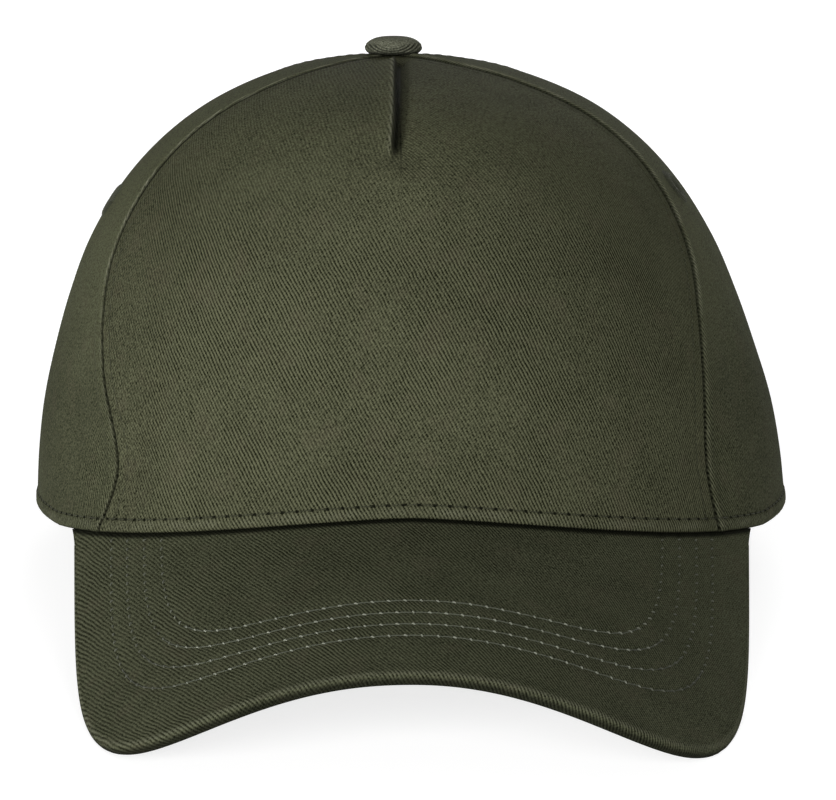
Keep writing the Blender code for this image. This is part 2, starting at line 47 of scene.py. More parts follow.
# The crown's named sizes, as the frame's solids have them
crown = {
    "halfWidth": 0.0870, "frontReach": 0.0980, "backReach": 0.1010, "height": 0.1048,
    "lean": 0.0040, "planExponent": 2.15, "archRise": 0.0110, "archHalfSpan": 0.0800,
    "sideLift": 0.0018, "frontWall": 0.0016, "sideWall": 0.0012, "seamGap": 0.0003,
    "clearance": 0.0004,
}

# Levels of the crown from the rim up: shares of those sizes, and the seams in degrees round
levels = {
    "height": (0.0, 0.12, 0.24, 0.36, 0.48, 0.60, 0.72, 0.82, 0.90, 0.96, 0.99, 1.0),
    "width": (1.0, 0.990, 0.969, 0.932, 0.887, 0.829, 0.741, 0.631, 0.497, 0.330, 0.165, 0.0),
    "front": (1.0, 1.0, 0.994, 0.982, 0.958, 0.917, 0.850, 0.755, 0.630, 0.440, 0.230, 0.0),
    "back": (1.0, 0.996, 0.980, 0.950, 0.905, 0.840, 0.748, 0.638, 0.498, 0.330, 0.165, 0.0),
    "lean": (0.0, 0.09, 0.20, 0.34, 0.45, 0.53, 0.57, 0.58, 0.62, 0.78, 0.95, 1.0),
    "leftSeam": (52.0, 49.0, 50.0, 55.0, 59.5, 63.0, 65.0, 66.0, 65.0, 60.0, 55.0, 53.0),
    "rightSeam": (50.5, 49.5, 50.5, 53.5, 57.5, 62.5, 66.5, 68.5, 67.0, 62.0, 55.0, 53.0),
    "backSeam": (115.0, 115.5, 116.0, 117.0, 118.0, 119.0, 120.0, 121.0, 121.0, 120.0, 118.0, 116.0),
}

# Soft dents and swells: degrees round, level, spread of each, and depth in shares of halfWidth
dents = (
    {"angle": -47.0, "level": 0.11, "wide": 7.0, "tall": 0.070, "depth": -0.018},
    {"angle": -62.0, "level": 0.20, "wide": 6.0, "tall": 0.120, "depth": -0.008},
    {"angle": 51.0, "level": 0.12, "wide": 6.0, "tall": 0.080, "depth": -0.009},
    {"angle": 64.0, "level": 0.24, "wide": 6.0, "tall": 0.120, "depth": -0.007},
    {"angle": 0.0, "level": 0.60, "wide": 9.0, "tall": 0.035, "depth": 0.009},
    {"angle": -1.5, "level": 0.617, "wide": 2.6, "tall": 0.018, "depth": 0.006},
    {"angle": -24.0, "level": 0.40, "wide": 20.0, "tall": 0.180, "depth": 0.010},
    {"angle": 26.0, "level": 0.42, "wide": 20.0, "tall": 0.180, "depth": 0.008},
)

# The dart's fold; its shade values paint the lip's shadow into the valley beside it, and its lip values paint
# a highlight on the lip
dart = {
    "halfWidth": 0.0060, "depth": 0.0015, "foot": 0.640, "head": 0.684, "clearRadius": 0.0070,
    "footShift": -0.0027, "topShift": 0.0009,
    "across": (-1.0, -0.6, -0.25, -0.10, -0.02, 0.03, 0.09, 0.30, 0.52, 0.75, 1.0),
    "relief": (0.0, 0.20, 0.50, 0.72, 0.75, 0.45, -0.95, -1.0, -0.60, -0.15, 0.0),
    "shadeAt": 0.17, "shadeSpread": 0.20, "shade": 0.90, "lipHighlight": 0.60, "lipAt": -0.09, "lipSpread": 0.09,
    "clothTurn": 0.40, "clothSoftness": 0.006, "clothReach": 0.042,
}


def section(column, level):
    values = np.array(levels[column], dtype=float)
    last = len(values) - 1
    ends = (2.0 * values[0] - values[1], 2.0 * values[-1] - values[-2])
    padded = np.concatenate([[ends[0]], values, [ends[1]]])
    place = np.clip(level, 0.0, 1.0) * last
    index = np.minimum(place.astype(int), last - 1)
    share = place - index
    before, start, end, after = (padded[index + step] for step in range(4))
    square = 2.0 * before - 5.0 * start + 4.0 * end - after
    cube = 3.0 * start - before - 3.0 * end + after
    return start + 0.5 * share * (end - before + share * (square + share * cube))


def smoothStep(low, high, value):
    share = np.clip((value - low) / (high - low), 0.0, 1.0)
    return share * share * (3.0 - 2.0 * share)


def bump(value, centre, spread):
    return np.exp(-((value - centre) / spread) ** 2)


def rimAngle(halfWidth):
    share = np.minimum(np.abs(halfWidth) / crown["halfWidth"], 1.0)
    return np.arcsin(share ** (crown["planExponent"] / 2.0))


def smoothCrown(angle, level):
    power = 2.0 / crown["planExponent"]
    across = np.copysign(np.abs(np.sin(angle)) ** power, np.sin(angle))
    along = np.copysign(np.abs(np.cos(angle)) ** power, np.cos(angle))
    front = along > 0.0
    reach = np.where(front, crown["frontReach"] * section("front", level),
                     crown["backReach"] * section("back", level))
    share = np.minimum(np.abs(across) * crown["halfWidth"] / crown["archHalfSpan"], 1.0)
    rise = crown["sideLift"] * np.sin(angle) ** 4
    rise = rise + np.where(front, crown["archRise"] * (1.0 - share ** 1.5), 0.0)
    fade = np.maximum(1.0 - 2.0 * level, 0.0) ** 1.5
    x = crown["halfWidth"] * section("width", level) * across - crown["lean"] * section("lean", level)
    return np.stack([x, -reach * along, crown["height"] * section("height", level) + rise * fade], -1)


def unit(vectors):
    return vectors / np.maximum(np.linalg.norm(vectors, axis=-1, keepdims=True), 1e-12)


fineStep = 0.002


def crownNormal(angle, level):
    run = smoothCrown(angle + fineStep, level) - smoothCrown(angle - fineStep, level)
    above = smoothCrown(angle, np.minimum(level + fineStep, 1.0))
    return unit(np.cross(run, above - smoothCrown(angle, np.maximum(level - fineStep, 0.0))))


# Metres passed for each radian round the crown, and for each unit of level up it
def speedRound(angle, level):
    run = smoothCrown(angle + fineStep, level) - smoothCrown(angle - fineStep, level)
    return np.linalg.norm(run, axis=-1) / (2 * fineStep)


def speedUp(angle, level):
    run = smoothCrown(angle, level + fineStep) - smoothCrown(angle, level - fineStep)
    return np.linalg.norm(run, axis=-1) / (2 * fineStep)


# How far across the dart each point lies, and how open the dart is at its level
def dartPlace(angle, level):
    radius = crown["halfWidth"] * section("width", level)
    lip = smoothStep(dart["foot"], dart["head"], level)
    lip = lip * smoothStep(dart["clearRadius"], 1.4 * dart["clearRadius"], radius)
    reach = np.minimum(dart["halfWidth"] / speedRound(0.0 * angle, level),
                       0.5 * np.radians(section("rightSeam", level)))
    share = np.clip((level - dart["foot"]) / (1.0 - dart["foot"]), 0.0, 1.0)
    shift = dart["footShift"] + (dart["topShift"] - dart["footShift"]) * share
    centre = shift / speedRound(0.0 * angle, level)
    return (angle - centre) / reach, lip * (np.abs(angle) < 0.5 * math.pi)


def dartRelief(angle, level):
    across, lip = dartPlace(angle, level)
    return dart["depth"] * lip * np.interp(across, dart["across"], dart["relief"])


# Painted shadow of the dart's lip, darkening its valley
def dartShade(angle, level):
    across, lip = dartPlace(angle, level)
    return dart["shade"] * lip * bump(across, dart["shadeAt"], dart["shadeSpread"])


def softRelief(angle, level):
    total = dartRelief(angle, level)
    for dent in dents:
        far = (np.degrees(angle) - dent["angle"]) / dent["wide"]
        high = (level - dent["level"]) / dent["tall"]
        total = total + crown["halfWidth"] * dent["depth"] * np.exp(-far * far - high * high)
    return total


def levelAtHeight(angle, height):
    low = np.zeros_like(angle)
    high = np.ones_like(angle)
    base = smoothCrown(angle, low)[..., 2]
    for _ in range(36):
        middle = 0.5 * (low + high)
        below = smoothCrown(angle, middle)[..., 2] - base < height
        low = np.where(below, middle, low)
        high = np.where(below, high, middle)
    return 0.5 * (low + high)


# The panels end this far from the crown's middle, under the button
topRadius = 1.6 * mm
topLevel = 1.0 - topRadius / (crown["halfWidth"] * levels["width"][-2] * (len(levels["width"]) - 1))
archForm = {"halfWidth": 0.0375, "height": 0.0460, "exponent": 2.5}


def archHeight(halfWidth, grow=0.0):
    share = np.minimum(np.abs(halfWidth) / (archForm["halfWidth"] + grow), 1.0)
    exponent = archForm["exponent"]
    return (archForm["height"] + grow) * (1.0 - share ** exponent) ** (1.0 / exponent)


# The crown stands in its own frame, whose place and up axis the head opening's mount gives
opening = next(mount for mount in frame["record"]["mounts"] if mount["name"] == "head_opening")
crownTilt = math.atan2(opening["axis"][1], opening["axis"][2]) + math.pi
crownPlace = Matrix.Translation(Vector(opening["pos_m"])) @ Matrix.Rotation(-crownTilt, 4, "X")
crownTurn = np.array(crownPlace.to_3x3())
crownShift = np.array(opening["pos_m"])
print("crown tilt", round(math.degrees(crownTilt), 3))


def toWorld(points):
    placed = points @ crownTurn.T + crownShift
    placed[..., 2] = np.maximum(placed[..., 2], 0.0)
    return placed


# The crown's dented surface, moved out by depth, and its normals
def dentedCrown(angle, level, depth=0.0):
    normal = crownNormal(angle, level)
    return smoothCrown(angle, level) + normal * (softRelief(angle, level) + depth)[..., None], normal


# Metres passed along a line of points, at each of them
def lengthsAlong(line):
    return np.concatenate([[0.0], np.cumsum(np.linalg.norm(np.diff(line, axis=0), axis=1))])


def lineLength(line):
    return np.linalg.norm(np.diff(line, axis=0), axis=1).sum()


# The line's places at shares of its length, or values that its points carry
def alongLine(line, share, values=None):
    length = lengthsAlong(line)
    carried = line if values is None else values
    return np.stack([np.interp(share * length[-1], length, carried[:, axis]) for axis in range(3)], -1)


# Distance of points to a line of points, and how far along it each one's nearest place is
def nearestOnLine(points, line):
    flat = points.reshape(-1, 3)
    length = lengthsAlong(line)
    steps = np.diff(length)
    nearest = np.empty(len(flat), dtype=int)
    lineSquare = (line ** 2).sum(1)
    for start in range(0, len(flat), 4000):
        part = flat[start:start + 4000]
        nearest[start:start + 4000] = np.argmin(lineSquare - 2.0 * part @ line.T, axis=1)
    best = np.full(len(flat), 1e9)
    along = np.zeros(len(flat))
    for offset in (-1, 0):
        first = np.clip(nearest + offset, 0, len(line) - 2)
        run = line[first + 1] - line[first]
        share = ((flat - line[first]) * run).sum(1) / np.maximum((run ** 2).sum(1), 1e-18)
        share = np.clip(share, 0.0, 1.0)
        gap = np.linalg.norm(flat - line[first] - run * share[:, None], axis=1)
        closer = gap < best
        best = np.where(closer, gap, best)
        along = np.where(closer, length[first] + share * steps[first], along)
    return best.reshape(points.shape[:-1]), along.reshape(points.shape[:-1])


# Irregular ripple along a seam, about -1 to 1
def ripple(along, pitch, seed):
    turn = 2.0 * math.pi * along / pitch
    wave = 0.55 * np.sin(turn + 0.9 * np.sin(turn * 0.13 + seed))
    wave = wave + 0.40 * np.sin(turn * 0.53 + 1.7 * seed) + 0.30 * np.sin(turn * 0.27 + 2.3 * seed)
    return wave


# What the cloth does beside each kind of edge: shape, painted shade in the seam's groove and a pale lip,
# which is wear and painted highlight, in mm from the edge, and how strong the painted shade and the pale lip
# are
edgeColumns = ("roll", "drop", "plateau", "plateauEnd", "pucker", "puckerReach", "shadeReach",
               "wearAndHighlightAt", "wearAndHighlightSpread", "shade", "wearAndHighlight")
edgeTable = {
    "underFold": (0.40, 0.60, 0.05, 3.6, 0.03, 3.0, 0.52, 0.80, 0.45, 1.00, 0.05),
    "wideFold": (0.65, 0.70, 0.05, 3.6, 0.03, 3.0, 0.50, 1.20, 0.45, 1.00, 0.05),
    "overFold": (0.45, 0.45, 0.50, 3.4, 0.03, 1.5, 0.08, 0.22, 0.28, 0.50, 0.85),
    "rollFold": (0.90, 0.75, 0.80, 2.5, 0.04, 1.5, 0.10, 0.42, 0.50, 0.60, 0.85),
    "flatSeam": (0.50, 0.55, 0.22, 4.4, 0.06, 4.0, 0.25, 0.60, 0.45, 0.80, 0.12),
    "hem": (1.10, 0.70, 0.32, 3.1, 0.04, 5.0, 0.22, 1.60, 0.90, 0.75, 0.24),
}
edgeForms = {kind: dict(zip(edgeColumns, row)) for kind, row in edgeTable.items()}
for kind in edgeForms:
    edgeForms[kind].update({key: edgeForms[kind][key] * mm for key in edgeColumns[:-2]})

# How relief, the seams' painted shade and the pale lips' wear and painted highlight change over the crown, by
# metres from its top's middle and up
clothChange = {"fadeFrom": 0.010, "fadeTo": 0.045, "leastFade": 0.15, "widenFrom": 0.045, "widenTo": 0.095,
               "widen": 1.1, "wornAndLitFrom": 0.035, "wornAndLitTo": 0.080, "leastWornAndLit": 0.30, "wornAndLit": 0.9,
               "clearReach": 6.5 * mm}
stitching = {"pitch": 3.36 * mm, "groove": 0.14 * mm, "grooveSpread": 0.45 * mm}


# How many stitches a line takes, and how many of them lie before each place along it
def stitchCount(line):
    return round(lineLength(line) / stitching["pitch"])


def stitchPhase(line, along):
    return along / lineLength(line) * stitchCount(line)


def edgeRelief(edge, gap, along, fade):
    form = edgeForms[edge["form"]]
    into = np.clip(1.0 - gap / form["roll"], 0.0, 1.0)
    total = -form["drop"] * (1.0 - np.sqrt(1.0 - into ** 2))
    soft = 0.28 * form["plateauEnd"]
    ending = smoothStep(form["plateauEnd"] - soft, form["plateauEnd"] + soft, gap)
    total = total + form["plateau"] * (1.0 - ending)
    reach = bump(gap, 0.0, form["puckerReach"]) * fade
    return total + form["pucker"] * ripple(along, stitching["pitch"] * 1.02, edge["seed"]) * reach


# Relief of a panel's points beside its edges and rows, and the marks that its cloth takes there: painted
# shade in seams and rows, and pale lips of wear and painted highlight
def panelDetail(panel, points):
    change = clothChange
    fromTop = np.hypot(points[..., 0] + crown["lean"], points[..., 1])
    fade = smoothStep(change["fadeFrom"], change["fadeTo"], fromTop)
    fade = change["leastFade"] + (1.0 - change["leastFade"]) * fade
    widen = 1.0 + change["widen"] * smoothStep(change["widenFrom"], change["widenTo"], points[..., 2])
    wornAndLit = smoothStep(change["wornAndLitFrom"], change["wornAndLitTo"], points[..., 2])
    wornAndLit = change["leastWornAndLit"] + change["wornAndLit"] * wornAndLit
    relief = np.zeros(points.shape[:-1])
    names = ("shade", "wearAndHighlight", "rowGap", "rowPhase", "rowWeight", "clear", "lift")
    marks = {name: relief.copy() for name in names}
    marks["rowGap"] += 1.0 / mm
    for edge in panel["edges"]:
        form = edgeForms[edge["form"]]
        gap, along = nearestOnLine(points, edge["line"])
        lift = edgeRelief(edge, gap, along, fade)
        relief = relief + lift
        folded = edge["form"] in ("rollFold", "overFold")
        # painted shade in the seam's groove, reaching wider up the crown
        reach = form["shadeReach"] * (widen if edge["form"] in ("underFold", "wideFold") else 1.0)
        dark = form["shade"] * (1.0 - smoothStep(0.7, 1.5, gap / reach))
        marks["shade"] = np.maximum(marks["shade"], dark)
        if edge["form"] == "rollFold":
            marks["clear"] = bump(gap, 0.0, change["clearReach"])
        if folded:
            marks["lift"] = np.minimum(lift - form["plateau"], 0.0) * (gap < form["roll"])
        # a broken pale lip beside the edge: wear, and on folded lips painted highlight that grows up the
        # crown
        broken = 0.55 + 0.30 * ripple(along, 0.37 * stitching["pitch"], edge["seed"] + 0.7)
        broken = broken + 0.35 * ripple(along, 3.1 * stitching["pitch"], edge["seed"] + 2.7)
        wearAndHighlight = form["wearAndHighlight"] * bump(gap, form["wearAndHighlightAt"], form["wearAndHighlightSpread"])
        marks["wearAndHighlight"] = marks["wearAndHighlight"] + (wornAndLit if folded else 1.0) * wearAndHighlight * broken
    for row in panel["rows"]:
        gap, along = nearestOnLine(points, row["base"])
        groove = stitching["groove"] * bump(gap, 0.0, stitching["grooveSpread"])
        relief = relief - fade * row["weight"] * groove
        closer = gap / mm < marks["rowGap"]
        found = {"rowGap": gap / mm, "rowPhase": stitchPhase(row["base"], along), "rowWeight": row["weight"]}
        for key, values in found.items():
            marks[key] = np.where(closer, values, marks[key])
    return np.maximum(relief, -0.8 * panel["wall"]), marks


panelNames = ("front_panel", "side_panel_left", "side_panel_right", "back_panel_left", "back_panel_right")
panels = {name: {"wall": crown["sideWall"], "edges": [], "rows": []} for name in panelNames}
panels["front_panel"]["wall"] = crown["frontWall"]


# Outer and inner faces of a panel's cloth, its plain surface and the cloth's marks, among them painted shade
# and painted highlight
def dressedCrown(panelName, angle, level):
    panel = panels[panelName]
    base = smoothCrown(angle, level)
    normal = crownNormal(angle, level)
    relief, marks = panelDetail(panel, base)
    soft = softRelief(angle, level)
    outer = base + normal * (soft + relief)[..., None]
    inner = base + normal * (soft - panel["wall"])[..., None]
    # the dart paints shadow into its valley and a highlight on its lip
    marks["shade"] = np.maximum(marks["shade"], dartShade(angle, level))
    across, lip = dartPlace(angle, level)
    marks["wearAndHighlight"] = marks["wearAndHighlight"] + dart["lipHighlight"] * lip * bump(across, dart["lipAt"], dart["lipSpread"])
    return outer, inner, base, marks


def seamAngle(column, level):
    return np.radians(section(column, level))


def seamLine(column, side):
    level = np.linspace(0.0, topLevel, 500)
    return smoothCrown(side * seamAngle(column, level), level)


# Edges of the panels, and the seams' places
archAngle = rimAngle(archForm["halfWidth"])
fullRim = smoothCrown(np.linspace(-math.pi, math.pi, 2400), np.zeros(2400))
frontLeft = seamLine("leftSeam", -1.0)
frontRight = seamLine("rightSeam", 1.0)
backMiddle = smoothCrown(np.full(500, math.pi), np.linspace(0.0, topLevel, 500))
archWidths = archForm["halfWidth"] * np.sin(np.linspace(-0.5, 0.5, 500) * math.pi)
archAngles = math.pi - np.copysign(rimAngle(archWidths), archWidths)
archLine = smoothCrown(archAngles, levelAtHeight(archAngles, archHeight(archWidths)))


def addEdge(form, seed, line, *names):
    for name in names:
        panels[name]["edges"].append({"line": line, "form": form, "seed": seed})


addEdge("hem", 3.1, fullRim, *panels)
addEdge("underFold", 1.0, frontLeft, "front_panel")
addEdge("wideFold", 2.0, frontRight, "front_panel")
addEdge("overFold", 1.0, frontLeft, "side_panel_left")
addEdge("rollFold", 2.0, frontRight, "side_panel_right")
addEdge("flatSeam", 4.0, seamLine("backSeam", -1.0), "side_panel_left", "back_panel_left")
addEdge("flatSeam", 5.0, seamLine("backSeam", 1.0), "side_panel_right", "back_panel_right")
addEdge("flatSeam", 6.0, backMiddle, "back_panel_left", "back_panel_right")
addEdge("hem", 7.0, archLine, "back_panel_left", "back_panel_right")

# Rows of stitching on the crown: where each runs, by angle and level, and on which panels
rowPlan = {"rimHeight": 3.1 * mm, "rimEnd": 0.03, "frontInset": 4.0 * mm, "backInset": 3.0 * mm,
           "archInset": 3.0 * mm, "topRadius": 8.5 * mm}
rows = {}


def addRow(rowName, angle, level, names, weight=0.6):
    base = smoothCrown(angle, level)
    rows[rowName] = {"angle": angle, "level": level, "base": base, "panels": names, "weight": weight}
    for name in names:
        panels[name]["rows"].append(rows[rowName])


def addSeamRow(rowName, column, side, offset, panelName, lowest=None, weight=0.6):
    low = 0.5 * rowPlan["rimHeight"] / crown["height"] if lowest is None else lowest
    level = np.linspace(low, topLevel, 700)
    level = level[crown["halfWidth"] * section("width", level) > rowPlan["topRadius"]]
    centre = side * seamAngle(column, level) if column else np.full_like(level, math.pi)
    addRow(rowName, centre + offset / speedRound(centre, level), level, [panelName], weight)


rimEnd = math.pi - archAngle - rowPlan["rimEnd"]
rimAngles = np.linspace(-rimEnd, rimEnd, 900)
addRow("rim", rimAngles, levelAtHeight(rimAngles, rowPlan["rimHeight"]), list(panels), 1.0)
addSeamRow("front_left", "leftSeam", -1.0, rowPlan["frontInset"], "front_panel", None, 0.20)
addSeamRow("front_right", "rightSeam", 1.0, -rowPlan["frontInset"], "front_panel", None, 0.30)
inset = rowPlan["backInset"]
addSeamRow("side_back_left", "backSeam", -1.0, inset, "side_panel_left")
addSeamRow("side_back_right", "backSeam", 1.0, -inset, "side_panel_right")
addSeamRow("back_side_left", "backSeam", -1.0, -inset, "back_panel_left")
addSeamRow("back_side_right", "backSeam", 1.0, inset, "back_panel_right")
grow = rowPlan["archInset"]
archTop = float(levelAtHeight(np.array([math.pi]), archForm["height"] + grow)[0])
addSeamRow("middle_left", None, 1.0, inset, "back_panel_left", archTop)
addSeamRow("middle_right", None, 1.0, -inset, "back_panel_right", archTop)
for sideName, side in (("left", -1.0), ("right", 1.0)):
    widths = (archForm["halfWidth"] + grow) * np.sin(np.linspace(0.02, 0.5, 400) * math.pi)
    heights = archHeight(widths, grow)
    keep = heights > rowPlan["rimHeight"]
    angles = (math.pi - rimAngle(widths))[keep]
    heights = heights[keep]
    addRow("arch_" + sideName, side * angles, levelAtHeight(angles, heights), ["back_panel_" + sideName])
print("rows planned:", len(rows))


# Shares from 0 to 1, crowded at peaks of density, each a centre, a spread and a weight
def crowdedShares(count, peaks):
    fine = np.linspace(0.0, 1.0, 4001)
    density = np.ones_like(fine)
    for centre, spread, weight in peaks:
        density = density + weight * bump(fine, centre, spread)
    total = np.concatenate([[0.0], np.cumsum(0.5 * (density[1:] + density[:-1]))])
    return np.interp(np.linspace(0.0, 1.0, count + 1), total / total[-1], fine)


def newObject(name, data):
    made = bpy.data.objects.new(name, data)
    bpy.context.collection.objects.link(made)
    return made


# Faces from four grids of points' numbers, one for each corner
def quads(*corners):
    return np.stack([corner.ravel() for corner in corners], 1)


def addMesh(name, points, faces, material, uv=None, attributes=None):
    mesh = bpy.data.meshes.new(name)
    mesh.from_pydata(points.reshape(-1, 3), [], faces)
    mesh.materials.append(material)
    corner = np.empty(len(mesh.loops), dtype=np.int32)
    mesh.loops.foreach_get("vertex_index", corner)
    if uv is not None:
        layer = mesh.uv_layers.new(name="cloth")
        layer.data.foreach_set("uv", uv.reshape(-1, 2)[corner].astype(np.float32).ravel())
    for key, values in (attributes or {}).items():
        attribute = mesh.attributes.new(key, "FLOAT", "POINT")
        attribute.data.foreach_set("value", values.ravel().astype(np.float32))
    mesh.shade_smooth()
    mesh.set_sharp_from_angle(angle=math.radians(55.0))
    return newObject(name, mesh)


# Closed wall between an outer and an inner grid of points
def gridWall(name, outer, inner, material, uv, attributes=None):
    index = np.arange(outer[..., 0].size).reshape(outer.shape[:2])
    back = index + index.size
    faces = [quads(index[:-1, :-1], index[1:, :-1], index[1:, 1:], index[:-1, 1:]),
             quads(back[:-1, :-1], back[:-1, 1:], back[1:, 1:], back[1:, :-1]),
             quads(index[:-1, 0], back[:-1, 0], back[1:, 0], index[1:, 0]),
             quads(index[:-1, -1], index[1:, -1], back[1:, -1], back[:-1, -1]),
             quads(index[0, :-1], index[0, 1:], back[0, 1:], back[0, :-1]),
             quads(index[-1, :-1], back[-1, :-1], back[-1, 1:], index[-1, 1:])]
    points = np.stack([outer, inner])
    doubled = {key: np.stack([values, values]) for key, values in (attributes or {}).items()}
    return addMesh(name, points, np.concatenate(faces).tolist(), material, np.stack([uv, uv]), doubled)


# Cloth coordinates in metres: arc length across from a column, and up that column
def clothCoordinates(points, reference):
    across = np.linalg.norm(np.diff(points, axis=0), axis=2)
    across = np.concatenate([np.zeros((1, points.shape[1])), np.cumsum(across, axis=0)])
    across = across - across[reference]
    up = lengthsAlong(points[reference])
    return np.stack([across, np.broadcast_to(up, across.shape)], -1)


class Link:
    # Wraps a socket, so that maths on it reads as Python
    def __init__(self, graph, socket):
        self.graph = graph
        self.socket = socket

    def maths(self, operation, *values):
        return self.graph.add("ShaderNodeMath", {"operation": operation}, dict(enumerate(values)))

    def __add__(self, other):
        return self.maths("ADD", self, other)

    def __sub__(self, other):
        return self.maths("SUBTRACT", self, other)

    def __rsub__(self, other):
        return self.maths("SUBTRACT", other, self)

    def __mul__(self, other):
        return self.maths("MULTIPLY", self, other)

    def __rmul__(self, other):
        return self.maths("MULTIPLY", other, self)

    def __truediv__(self, other):
        return self.maths("DIVIDE", self, other)

    def cosine(self):
        return self.maths("COSINE", self)

    def fraction(self):
        return self.maths("FRACT", self)

    def size(self):
        return self.maths("ABSOLUTE", self)

    def root(self):
        return self.maths("SQRT", self)

    def atLeast(self, other):
        return self.maths("MAXIMUM", self, other)

    # 0 below low, 1 above high, smooth between
    def ramp(self, low, high):
        settings = {"interpolation_type": "SMOOTHSTEP"}
        return self.graph.add("ShaderNodeMapRange", settings, {0: self, 1: low, 2: high})


class Graph:
    def __init__(self, tree):
        self.tree = tree
        tree.nodes.clear()

    def add(self, kind, settings=None, values=None, output=0):
        node = self.tree.nodes.new(kind)
        for key, value in (settings or {}).items():
            setattr(node, key, value)
        for key, value in (values or {}).items():
            socket = node.inputs[key]
            if isinstance(value, Link):
                self.tree.links.new(value.socket, socket)
            else:
                socket.default_value = value
        return Link(self, node.outputs[output]) if len(node.outputs) else node

    def other(self, link, output):
        return Link(self, link.socket.node.outputs[output])

    def noise(self, vector, scale, detail=2.0, roughness=0.5):
        values = {"Vector": vector, "Scale": scale, "Detail": detail, "Roughness": roughness}
        return self.add("ShaderNodeTexNoise", {}, values)

    # Mixes two colours, each a link or its red, green and blue
    def mix(self, factor, *colours):
        first, second = [colour if isinstance(colour, Link) else (*colour, 1.0) for colour in colours]
        return self.add("ShaderNodeMix", {"data_type": "RGBA"}, {0: factor, 6: first, 7: second}, 2)

    def attribute(self, name):
        return self.add("ShaderNodeAttribute", {"attribute_name": name}, {}, 2)


def newMaterial(name):
    material = bpy.data.materials.new(name)
    material.use_nodes = True
    return material, Graph(material.node_tree)


def finishSurface(graph, values):
    surface = graph.add("ShaderNodeBsdfPrincipled", {}, values)
    graph.add("ShaderNodeOutputMaterial", {}, {"Surface": surface})


def finishMaterial(graph, colour, roughness, bumps, look):
    normal = {}
    for height, distance in bumps:
        inputs = {"Height": height, "Distance": distance, "Strength": 1.0, **normal}
        normal = {"Normal": graph.add("ShaderNodeBump", {}, inputs)}
    finishSurface(graph, {"Base Color": colour, "Roughness": roughness, "Metallic": 0.0, "IOR": 1.25,
                          "Specular IOR Level": look["specular"], "Sheen Weight": look["sheen"],
                          "Sheen Roughness": 0.5, **normal})


# Ribs and beads of the weave in mm and degrees, colours, and how strong each irregularity is; the dark colour
# is for painted shade, and the pale worn colour for lips that are worn and take painted highlight. Towards
# the top and the left the ribs fade into an even mottle, from and to the given metres, and towards the top
# painted light lightens the cloth.
twillLook = {
    "ribPitch": 0.76, "ribAngle": 63.0, "beadPitch": 0.52, "ribHeight": 0.10 * mm,
    "groove": (0.0046, 0.0052, 0.0021), "crest": (0.080, 0.083, 0.048), "dark": (0.0022, 0.0025, 0.0015),
    "wornAndLit": (0.150, 0.152, 0.108), "fleck": (0.16, 0.16, 0.12), "brown": (0.068, 0.058, 0.039),
    "ribShare": 0.88, "grain": 1.10, "fuzz": 0.80, "mottle": 0.12, "patches": 0.35,
    "fadeTop": (0.085, 0.112), "fadeLeft": (0.050, 0.064), "fadeShare": 0.75, "fadeLift": 0.12,
    "fadeFuzz": 1.7, "specular": 0.06, "sheen": 0.0,
}
# Fineness of the irregularities, in waves for each metre
waves = {"wander": 160.0, "fuzz": 2300.0, "patches": 55.0, "mottle": 90.0, "cloud": 22.0, "brown": 140.0,
         "flecks": 1900.0, "tint": 900.0}


